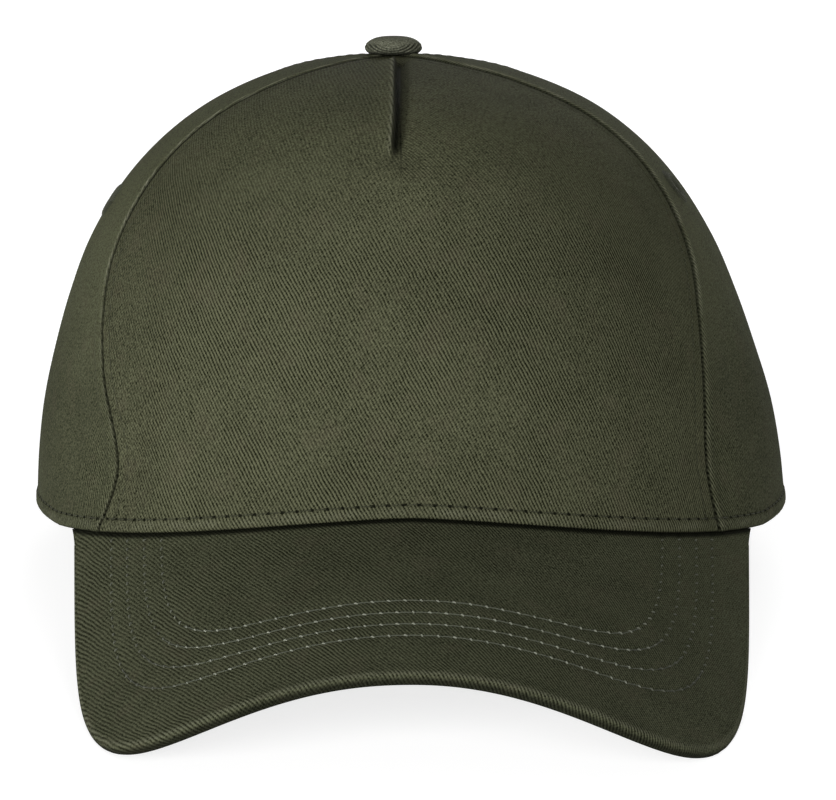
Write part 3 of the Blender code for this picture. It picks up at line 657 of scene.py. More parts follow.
def twillMaterial(name, **changes):
    look = {**twillLook, **changes}
    material, graph = newMaterial(name)
    cloth = graph.add("ShaderNodeUVMap", {"uv_map": "cloth"})
    parts = graph.add("ShaderNodeSeparateXYZ", {}, {0: cloth})
    x = parts / mm
    y = graph.other(parts, 1) / mm
    place = graph.add("ShaderNodeTexCoord", {}, {}, "Object")
    spot = graph.add("ShaderNodeSeparateXYZ", {}, {0: place})
    # the weave: slanting ribs with beads along them, both a little irregular
    turn = math.radians(look["ribAngle"])
    wander = graph.noise(cloth, waves["wander"]) - 0.5
    ribs = (x * math.sin(turn) + y * math.cos(turn)) / look["ribPitch"] + wander * 1.1
    beads = (x * math.cos(turn) - y * math.sin(turn)) / look["beadPitch"] + ribs * 0.37
    stretched = graph.add("ShaderNodeCombineXYZ", {}, {0: ribs * 1.6, 1: beads * 0.8, 2: 0.0})
    grain = graph.noise(stretched, 1.0, 2.0, 0.65) - 0.5
    coarse = graph.noise(stretched, 0.31, 2.0, 0.6) - 0.5
    fuzz = graph.noise(place, waves["fuzz"], 2.0, 0.6) - 0.5
    mottle = graph.noise(place, waves["mottle"], 3.0) - 0.5
    cloud = graph.noise(place, waves["cloud"]) - 0.5
    crests = (ribs * (2.0 * math.pi)).cosine() * 0.5 + 0.5
    beading = (beads * (2.0 * math.pi)).cosine() * 0.10
    # the ribs are weaker in patches and where they fade, and clear along the rolled seam
    patches = graph.noise(place, waves["patches"]).ramp(0.35, 0.65) * look["patches"]
    topmost = graph.other(spot, 2).ramp(*look["fadeTop"])
    fading = topmost.atLeast((0.0 - spot).ramp(*look["fadeLeft"]))
    patches = patches.atLeast(fading * look["fadeShare"])
    clear = graph.attribute("clear")
    clarity = (1.0 - patches) * look["ribShare"] + clear * (1.0 - look["ribShare"])
    soft = (patches * look["fadeFuzz"] + look["fuzz"]) * (1.0 - clear * 0.6)
    tone = (crests - 0.5) * clarity + 0.5 + grain * look["grain"] + fuzz * soft
    tone = tone + beading + coarse * 0.25 + mottle * look["mottle"] * 2.0 + cloud * look["mottle"]
    # painted light: the cloth lightens towards the crown's top
    tone = (tone + topmost * look["fadeLift"]).atLeast(0.0)
    colour = graph.mix(tone, look["groove"], look["crest"])
    colour = graph.mix(graph.noise(place, waves["brown"]).ramp(0.52, 0.72) * 0.14, colour, look["brown"])
    flecks = graph.noise(cloth, waves["flecks"], 1.0).ramp(0.74, 0.80)
    colour = graph.mix(flecks * 0.5, colour, look["fleck"])
    # pale lips of wear and painted highlight
    wornAndLit = graph.attribute("wearAndHighlight") * (crests * 1.1 + grain * 1.8 + 0.08).atLeast(0.0)
    colour = graph.mix(wornAndLit, colour, look["wornAndLit"])
    # rows of stitches: painted shade in a hole at each end of a stitch and a faint painted shadow along the
    # row between, with the painted shade that each piece carries
    gap = graph.attribute("rowGap")
    phase = (graph.attribute("rowPhase") + 0.5).fraction() - 0.5
    ahead = phase * (0.45 * stitching["pitch"] / mm)
    hole = 1.0 - (gap * gap + ahead * ahead).root().ramp(0.16, 0.36)
    line = 1.0 - gap.ramp(0.05, 0.40)
    weight = graph.attribute("rowWeight")
    shade = ((hole * 0.92).atLeast(line * 0.30) * weight).atLeast(graph.attribute("shade"))
    colour = graph.mix(shade, colour, look["dark"])
    bumps = [(crests * 0.7 + grain * 0.9 + fuzz * 0.5, look["ribHeight"]), (1.0 - hole * weight, 0.25 * mm)]
    finishMaterial(graph, colour, 0.92 - 0.1 * crests, bumps, look)
    return material


# A thread's colours; painted shade darkens it to both sides of the cap's middle, from and to these metres
threadLook = {"colour": (0.085, 0.090, 0.058), "pale": (0.15, 0.155, 0.115), "sideShade": (0.032, 0.035, 0.021),
              "specular": 0.3, "sheen": 0.05, "fadeFrom": 1.0, "fadeTo": 2.0, "faded": 1.0}


def threadMaterial(name, **changes):
    look = {**threadLook, **changes}
    material, graph = newMaterial(name)
    place = graph.add("ShaderNodeTexCoord", {}, {}, "Object")
    turns = graph.attribute("threadAlong") * 7.0 + graph.attribute("threadTurn") * 2.0
    twist = (turns * (2.0 * math.pi)).cosine() * 0.5 + 0.5
    tone = twist * 0.45 + graph.noise(place, waves["tint"]) * 0.6
    colour = graph.mix(tone, [0.55 * part for part in look["colour"]], look["pale"])
    # painted shade on the thread towards both sides
    aside = graph.add("ShaderNodeSeparateXYZ", {}, {0: place}).size()
    faded = aside.ramp(look["fadeFrom"], look["fadeTo"]) * (1.0 - look["faded"])
    colour = graph.mix(faded, colour, look["sideShade"])
    finishMaterial(graph, colour, 0.75 - 0.1 * twist, [(twist, 0.05 * mm)], look)
    return material


nowhere = (0.2, 0.3)
crownTwill = twillMaterial("crown twill")
sideTwill = twillMaterial("side twill", ribAngle=58.0, ribShare=0.50, grain=1.3, fuzz=1.8, patches=0.30,
                          crest=(0.071, 0.075, 0.043), fadeTop=(0.040, 0.085), fadeLeft=nowhere,
                          fadeLift=0.30, fadeFuzz=0.6)
peakTwill = twillMaterial("peak twill", ribAngle=61.0, ribShare=0.75, grain=1.15, fuzz=1.05,
                          groove=(0.0060, 0.0068, 0.0028), crest=(0.077, 0.082, 0.049),
                          fadeTop=nowhere, fadeLeft=nowhere)
bandCloth = twillMaterial("sweatband cloth", ribAngle=45.0, groove=(0.012, 0.013, 0.0065),
                          crest=(0.070, 0.073, 0.046))
strapTwill = twillMaterial("strap twill", ribAngle=58.0)
# The button's cloth is a paler copy of the crown's twill: painted light on the button, whose top faces the
# light
buttonCloth = twillMaterial("button cloth", ribShare=0.15, fuzz=1.4, grain=0.5, fadeTop=nowhere,
                            groove=(0.026, 0.028, 0.017), crest=(0.170, 0.174, 0.128))
# On the peak, its threads and knots take painted shade towards its sides
peakFade = {"fadeFrom": 0.043, "fadeTo": 0.055, "faded": 0.22}
crownThread = threadMaterial("crown thread", colour=(0.024, 0.026, 0.014), pale=(0.050, 0.053, 0.031),
                             specular=0.06)
peakThread = threadMaterial("peak thread", colour=(0.064, 0.072, 0.049), pale=(0.120, 0.130, 0.093),
                            **peakFade)
# The knots are a paler copy of the peak thread: painted highlight on them
knotThread = threadMaterial("peak knots", colour=(0.18, 0.20, 0.15), pale=(0.36, 0.37, 0.30), **peakFade)
eyeletThread = threadMaterial("eyelet thread", colour=(0.034, 0.037, 0.022), pale=(0.062, 0.066, 0.041),
                              specular=0.12)
bandThread = threadMaterial("sweatband thread", colour=(0.045, 0.048, 0.030), pale=(0.08, 0.084, 0.056))
print("materials made")


def finishPiece(piece, slotName, *nodes):
    if nodes:
        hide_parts(*nodes)
    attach(piece, "root")
    return piece


# Replaces an object's live modifiers by their result, as a plain mesh
def settleMesh(piece, name):
    graph = bpy.context.evaluated_depsgraph_get()
    mesh = bpy.data.meshes.new_from_object(piece.evaluated_get(graph), depsgraph=graph)
    mesh.name = name
    piece.modifiers.clear()
    if piece.type == "MESH":
        piece.data = mesh
        return piece
    bpy.data.objects.remove(piece)
    return newObject(name, mesh)


density = {"frontHalf": 84, "frontRows": 190, "sideColumns": 92, "sideRows": 176, "backPlain": 40,
           "backArch": 46, "backRows": 150}
seamPlay = 0.012 * mm


# Keeps a panel's edge just clear of its neighbour's
def holdBack(angle, level, side):
    return angle - side * seamPlay / speedRound(angle, level)


clothPull = {"left": 0.6, "right": -0.5}


def buildFrontPanel():
    level = topLevel * crowdedShares(density["frontRows"], [(0.0, 0.035, 2.5), (0.66, 0.05, 0.6)])
    crowding = [(0.0, 0.06, 2.0), (0.0, 0.015, 5.0), (1.0, 0.05, 3.0), (1.0, 0.012, 6.0)]
    half = crowdedShares(density["frontHalf"], crowding)
    left = holdBack(-seamAngle("leftSeam", level), level, -1.0)
    right = holdBack(seamAngle("rightSeam", level), level, 1.0)
    angle = np.concatenate([left * half[::-1, None], right * half[1:, None]])
    grid = np.broadcast_to(level, angle.shape)
    outer, inner, smooth, marks = dressedCrown("front_panel", angle, grid)
    uv = clothCoordinates(smooth, len(half) - 1)
    marks.pop("lift")
    # the ribs spread a little to the left and close up to the right, and turn aside at the dart
    flat = smooth[..., 0] - smooth[len(half) - 1, :, 0]
    pull = np.where(angle < 0.0, clothPull["left"], clothPull["right"])
    uv[..., 0] = uv[..., 0] + (flat - uv[..., 0]) * pull
    footUp = np.interp(dart["foot"], level, uv[0, :, 1])
    beyond = (uv[..., 1] - footUp) / dart["clothSoftness"]
    wedge = dart["clothTurn"] * dart["clothSoftness"] * np.logaddexp(0.0, beyond)
    uv[..., 0] = uv[..., 0] + np.sign(angle) * wedge * np.exp(-(flat / dart["clothReach"]) ** 2)
    piece = gridWall("front_panel_cloth", toWorld(outer), toWorld(inner), crownTwill, uv, marks)
    return finishPiece(piece, "crown_twill", "front_panel")


eyelets = {
    "eyelet_side_left": {"panel": "side_panel_left", "angle": -84.0, "level": 0.520},
    "eyelet_side_right": {"panel": "side_panel_right", "angle": 77.0, "level": 0.550},
    "eyelet_back_left": {"panel": "back_panel_left", "angle": -150.0, "level": 0.550},
    "eyelet_back_right": {"panel": "back_panel_right", "angle": 150.0, "level": 0.550},
}
eyeletForm = {"outer": 4.5 * mm, "hole": 1.9 * mm, "cut": 2.6 * mm, "rise": 0.50 * mm, "wraps": 50,
              "thread": 0.22 * mm, "depth": 1.9 * mm}


# Cuts the eyelet's hole through a panel
def cutEyelet(piece, panelName):
    for spot in eyelets.values():
        if spot["panel"] != panelName:
            continue
        angle = np.array([math.radians(spot["angle"])])
        level = np.array([spot["level"]])
        place = toWorld(smoothCrown(angle, level))[0]
        axis = crownTurn @ crownNormal(angle, level)[0]
        bpy.ops.mesh.primitive_cylinder_add(vertices=40, radius=eyeletForm["cut"], depth=12 * mm,
                                            location=place)
        cutter = bpy.context.object
        cutter.rotation_euler = Vector(axis).to_track_quat("Z", "Y").to_euler()
        cut = piece.modifiers.new("eyelet hole", "BOOLEAN")
        cut.operation = "DIFFERENCE"
        cut.object = cutter
        bpy.context.view_layer.update()
        settleMesh(piece, piece.name)
        bpy.data.objects.remove(cutter)
    return piece


def buildSidePanel(side, column, name):
    level = topLevel * crowdedShares(density["sideRows"], [(0.0, 0.035, 2.5)])
    crowding = [(0.0, 0.05, 3.0), (0.0, 0.012, 8.0), (1.0, 0.05, 2.0), (1.0, 0.012, 4.0)]
    share = crowdedShares(density["sideColumns"], crowding)
    front = holdBack(side * seamAngle(column, level), level, -side)
    back = holdBack(side * seamAngle("backSeam", level), level, side)
    angle = front + (back - front) * share[:, None]
    if side < 0.0:
        angle = angle[::-1]
    return buildCrownGrid(name, angle, np.broadcast_to(level, angle.shape))


def buildCrownGrid(name, angle, grid):
    outer, inner, smooth, marks = dressedCrown(name, angle, grid)
    uv = clothCoordinates(smooth, len(angle) // 2)
    uv[..., 0] = uv[..., 0] + math.copysign(1.0, angle[0, 0]) * marks.pop("lift")
    piece = gridWall(name + "_cloth", toWorld(outer), toWorld(inner), sideTwill, uv, marks)
    cutEyelet(piece, name)
    return finishPiece(piece, "crown_twill", name)


def buildBackPanel(side, name):
    columnsAngle = []
    columnsLevel = []
    edge = math.pi - archAngle
    rise = crowdedShares(density["backRows"], [(0.0, 0.035, 2.5)])
    plain = crowdedShares(density["backPlain"], [(0.0, 0.05, 2.0), (0.0, 0.012, 4.0), (1.0, 0.1, 2.0)])
    for share in plain[:-1]:
        level = topLevel * rise
        seam = holdBack(seamAngle("backSeam", level), level, -1.0)
        columnsAngle.append(seam + (edge - seam) * share)
        columnsLevel.append(level)
    for even in crowdedShares(density["backArch"], [(0.0, 0.08, 2.0), (1.0, 0.04, 3.0)]):
        halfWidth = archForm["halfWidth"] * math.cos(0.5 * math.pi * even)
        angle = math.pi - rimAngle(halfWidth)
        crowded = (angle - edge) / (math.pi - edge)
        low = float(levelAtHeight(np.array([angle]), archHeight(halfWidth))[0])
        level = low + (topLevel - low) * rise
        share = crowded + (even - crowded) * smoothStep(low, topLevel, level)
        middle = holdBack(np.full_like(level, math.pi), level, 1.0)
        columnsAngle.append(edge + (middle - edge) * share)
        columnsLevel.append(level)
    angle = side * np.array(columnsAngle)
    level = np.array(columnsLevel)
    if side < 0.0:
        angle = angle[::-1]
        level = level[::-1]
    return buildCrownGrid(name, angle, level)


buildFrontPanel()
print("front panel made")
buildSidePanel(-1.0, "leftSeam", "side_panel_left")
buildSidePanel(1.0, "rightSeam", "side_panel_right")
buildBackPanel(-1.0, "back_panel_left")
buildBackPanel(1.0, "back_panel_right")
print("side and back panels made")

peak = {
    "halfWidth": 0.0764, "frontHalfWidth": 0.0703, "length": 0.0648, "cornerExponent": 4.7,
    "slope": math.radians(19.3), "drop": 0.0384, "curveLeft": 2.20, "curveRight": 2.04,
    "thickness": 0.0028, "tuck": 0.0015, "endLength": 0.0070, "rimSink": 0.10 * mm,
    "tuckRaise": 0.20 * mm, "columns": 300, "rows": 74, "edgeSteps": 9,
}


def peakExponent(x):
    return np.where(x < 0.0, peak["curveLeft"], peak["curveRight"])


def peakSheet(x, y):
    bend = peak["drop"] * (np.abs(x) / peak["halfWidth"]) ** peakExponent(x)
    return crown["archRise"] + (y + crown["frontReach"]) * math.tan(peak["slope"]) - bend


def peakNormal(x):
    exponent = peakExponent(x)
    steep = peak["drop"] * exponent * (np.abs(x) / peak["halfWidth"]) ** (exponent - 1.0) / peak["halfWidth"]
    slope = np.full_like(x, -math.tan(peak["slope"]))
    return unit(np.stack([np.copysign(steep, x), slope, np.ones_like(x)], -1))


# Where the peak's ends meet the crown's rim, and how far its sheet is raised to it there
peakEndAngle = rimAngle(peak["halfWidth"])
peakEndY = -crown["frontReach"] * math.cos(peakEndAngle) ** (2.0 / crown["planExponent"])
peakEndZ = smoothCrown(np.array([peakEndAngle]), np.zeros(1))[0, 2]
peakRaise = peakEndZ - peakSheet(np.array([peak["halfWidth"]]), np.array([peakEndY]))[0]


# A line round the peak from its left end to its right one, like its free edge but set in, and
# how far ahead of its ends it has come
def peakLine(halfWidth, frontHalfWidth, length, cornerExponent):
    share = np.linspace(-1.0, 1.0, 1201)
    turn = 0.5 * math.pi * np.copysign(np.abs(share) ** (0.5 * cornerExponent), share)
    power = 2.0 / cornerExponent
    ahead = np.maximum(np.cos(turn), 0.0) ** power
    across = np.copysign(np.abs(np.sin(turn)) ** power, turn)
    x = across * (halfWidth + (frontHalfWidth - halfWidth) * ahead)
    y = peakEndY + (-crown["frontReach"] - length - peakEndY) * ahead
    return np.stack([x, y, peakSheet(x, y)], -1), ahead


peakRows = (
    {"halfWidth": 0.0671, "frontHalfWidth": 0.0636, "inset": 0.0163, "exponent": 4.8},
    {"halfWidth": 0.0633, "frontHalfWidth": 0.0609, "inset": 0.0210, "exponent": 4.6},
    {"halfWidth": 0.0595, "frontHalfWidth": 0.0574, "inset": 0.0257, "exponent": 4.6},
    {"halfWidth": 0.0558, "frontHalfWidth": 0.0536, "inset": 0.0306, "exponent": 4.9},
)
peakRowLines = [peakLine(row["halfWidth"], row["frontHalfWidth"], peak["length"] - row["inset"],
                         row["exponent"])[0] for row in peakRows]
# The peak's cloth: painted shade in the crease at its root and under its rolled edge, painted highlight on
# that edge, and how strong the rows' painted shade is, weaker on the peak's sides
peakCloth = {"groove": 0.16 * mm, "grooveSpread": 0.8 * mm, "puff": 0.12 * mm, "puffAt": 1.2 * mm,
             "puffSpread": 1.6 * mm, "ripple": 0.05 * mm, "creaseDepth": 0.04 * mm, "creaseShade": 0.9,
             "creaseFrom": 0.7 * mm, "creaseTo": 2.2 * mm, "underShade": 0.82, "edgeHighlight": 0.24,
             "rowWeight": 0.50, "sideWeight": 0.16, "sideTo": -0.106, "frontFrom": -0.126,
             "threadFrom": -0.120}


# The peak's plan: its root at the rim, the tuck behind it, and the middle of its rolled edge
def peakSurface():
    outline, ahead = peakLine(peak["halfWidth"], peak["frontHalfWidth"], peak["length"],
                              peak["cornerExponent"])
    outline[:, 2] += peakRaise * (1.0 - ahead) ** 2
    first = peak["endLength"] / lineLength(outline)
    share = np.linspace(first, 1.0 - first, peak["columns"] + 1)
    angle = peakEndAngle * np.sin(math.pi * (share - 0.5))
    rimLevel = np.zeros_like(angle)
    rim = dentedCrown(angle, rimLevel)[0] - [0.0, 0.0, peak["rimSink"]]
    tucked = dentedCrown(angle, rimLevel, -peak["tuck"])[0] + [0.0, 0.0, peak["tuckRaise"]]
    edge = alongLine(outline, share)
    onward = alongLine(outline, share + 0.5 * first) - alongLine(outline, share - 0.5 * first)
    normal = peakNormal(edge[:, 0])
    outward = unit(np.cross(onward, normal))
    centre = edge - (outward + normal) * (0.5 * peak["thickness"])
    return share, rim, tucked, normal, outward, centre


# Grooves of the peak's rows in its top, how far each point is from a row, and where along it
def peakGrooves(flat):
    sheet = np.concatenate([flat[..., :2], peakSheet(flat[..., 0], flat[..., 1])[..., None]], -1)
    groove = np.zeros(flat.shape[:2])
    rowGap = np.ones(flat.shape[:2])
    rowPhase = np.zeros(flat.shape[:2])
    for line in peakRowLines:
        gap, along = nearestOnLine(sheet, line)
        groove -= peakCloth["groove"] * bump(gap, 0.0, peakCloth["grooveSpread"])
        closer = gap < rowGap
        rowGap = np.where(closer, gap, rowGap)
        rowPhase = np.where(closer, stitchPhase(line, along), rowPhase)
    return groove, rowGap, rowPhase


def buildPeak():
    share, rim, tucked, normal, outward, centre = peakSurface()
    half = 0.5 * peak["thickness"]
    rise = crowdedShares(peak["rows"], [(0.0, 0.03, 1.5), (1.0, 0.05, 2.5)])[None, :, None]
    flat = rim[:, None] + (centre + normal * half - rim)[:, None] * rise
    groove, rowGap, rowPhase = peakGrooves(flat)
    # the cloth swells a little at the rolled edge, ripples there, and sinks at its root
    arc = np.linalg.norm(flat - flat[:, -1:], axis=2)
    crease = np.linalg.norm(flat - flat[:, :1], axis=2)
    waving = peakCloth["ripple"] * ripple(share * 0.27, stitching["pitch"], 8.0)[:, None]
    lift = groove + peakCloth["puff"] * bump(arc, peakCloth["puffAt"], peakCloth["puffSpread"])
    lift = lift + waving * bump(arc, 0.5 * mm, 3.0 * mm)
    lift = lift - peakCloth["creaseDepth"] * bump(crease, 0.0, 0.9 * mm)
    across = unit(normal[:, None] * rise + peakNormal(rim[:, 0])[:, None] * (1.0 - rise))
    top = flat + across * lift[..., None]
    under = flat - across * (peak["thickness"] + 0.6 * groove)[..., None]
    turn = math.pi * np.arange(1, peak["edgeSteps"]) / peak["edgeSteps"]
    arm = normal[:, None] * np.cos(turn)[None, :, None] + outward[:, None] * np.sin(turn)[None, :, None]
    edgePoints = centre[:, None] + arm * half
    tuckUnder = tucked - peakNormal(tucked[:, 0]) * peak["thickness"]
    rings = np.concatenate([tucked[:, None], top, edgePoints, under[:, ::-1], tuckUnder[:, None]], 1)
    index = np.arange(rings[..., 0].size).reshape(rings.shape[:2])
    following = np.roll(index, -1, axis=1)
    faces = quads(index[:-1], following[:-1], following[1:], index[1:]).tolist()
    faces += [index[0, ::-1].tolist(), index[-1].tolist()]
    # cloth coordinates: across the bend of the sheet, down its slope, and on round the edge
    fineX = np.linspace(-0.09, 0.09, 2001)
    spread = lengthsAlong(np.stack([fineX, peakSheet(fineX, np.zeros_like(fineX))], -1))
    spread -= np.interp(0.0, fineX, spread)
    slant = math.cos(peak["slope"])
    uv = np.stack([np.interp(rings[..., 0], fineX, spread), rings[..., 1] / slant], -1)
    first = 1 + top.shape[1]
    last = first + edgePoints.shape[1]
    uv[:, first:last] = uv[:, first - 1:first] + outward[:, None, :2] / slant * (turn * half)[:, None]
    ones = np.ones((len(rings), 1))
    onEdge = np.ones(edgePoints.shape[:2])

    # Values round the peak: in its tuck, on top, round its edge and beneath
    def ringed(tuck, above, edge, beneath):
        return np.concatenate([tuck * ones, above, edge * onEdge, beneath, tuck * ones], 1)

    # painted shade in the crease at the root, in the tuck and under the rolled edge, and painted highlight on
    # the edge's top
    darkCrease = 1.0 - smoothStep(peakCloth["creaseFrom"], peakCloth["creaseTo"], crease)
    underEdge = peakCloth["underShade"] * smoothStep(0.20, 0.42, turn / math.pi)
    highlightTop = peakCloth["edgeHighlight"] * bump(arc, 0.1 * mm, 0.5 * mm)
    highlightEdge = peakCloth["edgeHighlight"] * (1.0 - smoothStep(0.06, 0.22, turn / math.pi))
    # the rows' painted shade is weaker on the peak's sides
    forward = smoothStep(peakCloth["sideTo"], peakCloth["frontFrom"], rings[..., 1])
    forward = forward * (peakCloth["rowWeight"] - peakCloth["sideWeight"])
    marks = {"rowGap": ringed(1.0, rowGap, 1.0, rowGap[:, ::-1]) / mm,
             "rowPhase": ringed(1.0, rowPhase, 0.0, rowPhase[:, ::-1]),
             "rowWeight": peakCloth["sideWeight"] + forward,
             "shade": ringed(1.0, peakCloth["creaseShade"] * darkCrease, underEdge,
                             np.full_like(rowGap, peakCloth["underShade"])),
             "wearAndHighlight": ringed(0.0, highlightTop, highlightEdge, 0.0 * rowGap)}
    piece = addMesh("peak_cloth", toWorld(rings), faces, peakTwill, uv, marks)
    finishPiece(piece, "peak_twill", "peak")
    return rim, top, across


peakRim, peakTop, peakAcross = buildPeak()
print("peak made")

# A stitch is a short bent thread, and Geometry Nodes set a row of them along a line
stitchForm = {"thread": 0.15 * mm, "reach": 0.86, "hump": 0.05 * mm, "sink": 0.16 * mm, "turn": 0.0,
              "wobble": 0.05, "seed": 1}
stitchInputs = {"Geometry": "Geometry", "Count": "Int", "Length": "Float", "Thread": "Float",
                "Hump": "Float", "Sink": "Float", "Turn": "Float", "Wobble": "Float", "Seed": "Int",
                "Material": "Material"}


def makeStitchTree():
    tree = bpy.data.node_groups.new("stitch row", "GeometryNodeTree")
    graph = Graph(tree)
    for name, kind in stitchInputs.items():
        tree.interface.new_socket(name, in_out="INPUT", socket_type="NodeSocket" + kind)
    tree.interface.new_socket("Geometry", in_out="OUTPUT", socket_type="NodeSocketGeometry")
    source = tree.nodes.new("NodeGroupInput")
    given = {name: Link(graph, source.outputs[name]) for name in stitchInputs}

    # Keeps each point's share of its curve, for the thread's twist
    def marked(curve, name):
        share = graph.add("GeometryNodeSplineParameter")
        return graph.add("GeometryNodeStoreNamedAttribute", {"data_type": "FLOAT", "domain": "POINT"},
                         {"Geometry": curve, "Name": name, "Value": share})

    path = graph.add("GeometryNodeMeshToCurve", {}, {"Mesh": given["Geometry"]})
    path = graph.add("GeometryNodeResampleCurve", {"mode": "COUNT"}, {"Curve": path, "Count": given["Count"]})
    tangent = graph.add("GeometryNodeInputTangent")
    normal = graph.add("GeometryNodeInputNamedAttribute", {"data_type": "FLOAT_VECTOR"},
                       {"Name": "surfaceNormal"})
    axes = {"primary_axis": "X", "secondary_axis": "Z"}
    rotation = graph.add("FunctionNodeAxesToRotation", axes, {0: tangent, 1: normal})
    wobble = graph.add("FunctionNodeRandomValue", {"data_type": "FLOAT"},
                       {2: -1.0, 3: 1.0, "Seed": given["Seed"]}, 1)
    spin = graph.add("ShaderNodeCombineXYZ", {}, {2: wobble * given["Wobble"] + given["Turn"]})
    rotation = graph.add("FunctionNodeRotateRotation", {"rotation_space": "LOCAL"}, {0: rotation, 1: spin})
    half = given["Length"] * 0.5
    low = 0.0 - given["Sink"]
    start = graph.add("ShaderNodeCombineXYZ", {}, {0: 0.0 - half, 2: low})
    middle = graph.add("ShaderNodeCombineXYZ", {}, {2: given["Hump"] * 2.0 + given["Sink"]})
    end = graph.add("ShaderNodeCombineXYZ", {}, {0: half, 2: low})
    shape = graph.add("GeometryNodeCurveQuadraticBezier", {},
                      {"Resolution": 7, "Start": start, "Middle": middle, "End": end})
    ring = graph.add("GeometryNodeCurvePrimitiveCircle", {}, {"Resolution": 6, "Radius": given["Thread"]})
    body = graph.add("GeometryNodeCurveToMesh", {},
                     {"Curve": marked(shape, "threadAlong"), "Profile Curve": marked(ring, "threadTurn"),
                      "Fill Caps": True})
    placed = graph.add("GeometryNodeInstanceOnPoints", {},
                       {"Points": path, "Instance": body, "Rotation": rotation})
    real = graph.add("GeometryNodeRealizeInstances", {}, {0: placed})
    smooth = graph.add("GeometryNodeSetShadeSmooth", {}, {"Geometry": real})
    painted = graph.add("GeometryNodeSetMaterial", {}, {"Geometry": smooth, "Material": given["Material"]})
    sink = tree.nodes.new("NodeGroupOutput")
    tree.links.new(painted.socket, sink.inputs[0])
    return tree


stitchTree = makeStitchTree()


# A row of as many stitches as count, along points that each have the cloth's normal
def stitchRow(name, slotName, points, normals, count, length, material, **changes):
    mesh = bpy.data.meshes.new(name)
    mesh.from_pydata(toWorld(points), [(i, i + 1) for i in range(len(points) - 1)], [])
    attribute = mesh.attributes.new("surfaceNormal", "FLOAT_VECTOR", "POINT")
    attribute.data.foreach_set("vector", (normals @ crownTurn.T).astype(np.float32).ravel())
    piece = newObject(name, mesh)
    modifier = piece.modifiers.new("stitches", "NODES")
    modifier.node_group = stitchTree
    values = {key.title(): value for key, value in {**stitchForm, **changes}.items()}
    values.update({"Count": count, "Length": length, "Material": material})
    for item in stitchTree.interface.items_tree:
        if item.name in values:
            modifier[item.identifier] = values[item.name]
    bpy.context.view_layer.update()
    piece = settleMesh(piece, name)
    attribute = piece.data.attributes.get("surfaceNormal")
    if attribute:
        piece.data.attributes.remove(attribute)
    return finishPiece(piece, slotName)


# A line and its normals without half a stitch at each end, when it takes count stitches
def trimLine(points, normals, count, steps=900):
    share = np.linspace(0.5 / count, 1.0 - 0.5 / count, steps)
    return alongLine(points, share), unit(alongLine(points, share, normals))


# Stitches with short gaps between them along a line, whose length is measured on another
def sewLine(name, slotName, points, normals, measured, material, steps=900, lift=0.0, **changes):
    count = stitchCount(measured)
    line, lineNormals = trimLine(points, normals, count, steps)
    length = stitchForm["reach"] * lineLength(measured) / count
    return stitchRow(name, slotName, line + lineNormals * lift, lineNormals, count, length, material,
                     **changes)


# Which panel each point of a row lies on
def rowOwners(row):
    if len(row["panels"]) == 1:
        return np.full(len(row["angle"]), row["panels"][0])
    angle, level = row["angle"], row["level"]
    owner = np.full(len(angle), "front_panel", dtype=object)
    owner[angle < -seamAngle("leftSeam", level)] = "side_panel_left"
    owner[angle > seamAngle("rightSeam", level)] = "side_panel_right"
    owner[angle < -seamAngle("backSeam", level)] = "back_panel_left"
    owner[angle > seamAngle("backSeam", level)] = "back_panel_right"
    return owner


def crownRow(rowName, row):
    angle, level = row["angle"], row["level"]
    points = np.empty_like(row["base"])
    owner = rowOwners(row)
    for panelName in row["panels"]:
        chosen = owner == panelName
        if chosen.any():
            points[chosen] = dressedCrown(panelName, angle[chosen], level[chosen])[0]
    sewLine("stitches_" + rowName, "crown_twill", points, crownNormal(angle, level), row["base"], crownThread,
            lift=0.02 * mm, seed=len(rowName), thread=0.7 * stitchForm["thread"], hump=0.0)


for rowName, row in rows.items():
    crownRow(rowName, row)
print("crown stitched")


def smoothLine(points, width):
    kernel = np.ones(width) / width
    padded = np.pad(points, ((width // 2, width // 2), (0, 0)), "edge")
    return np.stack([np.convolve(padded[:, axis], kernel, "valid") for axis in range(3)], -1)


# The peak's rows have a fine thread across the front, and a knot at each hole
peakStitch = {"thread": 0.13 * mm, "hump": 0.08 * mm, "sink": 0.12 * mm}
peakKnot = {"thread": 0.19 * mm, "hump": 0.10 * mm, "sink": 0.12 * mm, "turn": -0.7, "wobble": 0.5}
peakLay = {"lift": 0.05 * mm, "rimGap": 0.4 * mm, "knot": 0.75 * mm}


def buildPeakRow(number, line):
    trim = 0.5 / stitchCount(line)
    spots = alongLine(line, np.linspace(trim, 1.0 - trim, 600))
    plan = peakTop[..., :2].reshape(-1, 2)
    nearest = np.array([np.argmin(((plan - spot[:2]) ** 2).sum(1)) for spot in spots])
    grid = peakTop.reshape(-1, 3)[nearest]
    normal = peakAcross.reshape(-1, 3)[nearest]
    # slide from the nearest grid point along the surface to the row's own place
    shift = spots[:, :2] - grid[:, :2]
    height = grid[:, 2] - (shift * normal[:, :2]).sum(1) / normal[:, 2]
    points = smoothLine(np.concatenate([spots[:, :2], height[:, None]], 1), 9) + normal * peakLay["lift"]
    # keep what lies in front of the crown's rim
    inside = points[:, 1] < np.interp(points[:, 0], peakRim[:, 0], peakRim[:, 1]) - peakLay["rimGap"]
    points, normal = points[inside], normal[inside]
    front = points[:, 1] < peakCloth["threadFrom"]
    count = stitchCount(points[front])
    stitchRow(f"stitches_peak_{number}", "peak_twill", points[front], normal[front], count,
              lineLength(points[front]) / count, peakThread, seed=number + 2, **peakStitch)
    count = stitchCount(points)
    line, normals = trimLine(points, normal, count)
    stitchRow(f"knots_peak_{number}", "peak_twill", line, normals, count - 1, peakLay["knot"], knotThread,
              seed=number + 12, **peakKnot)


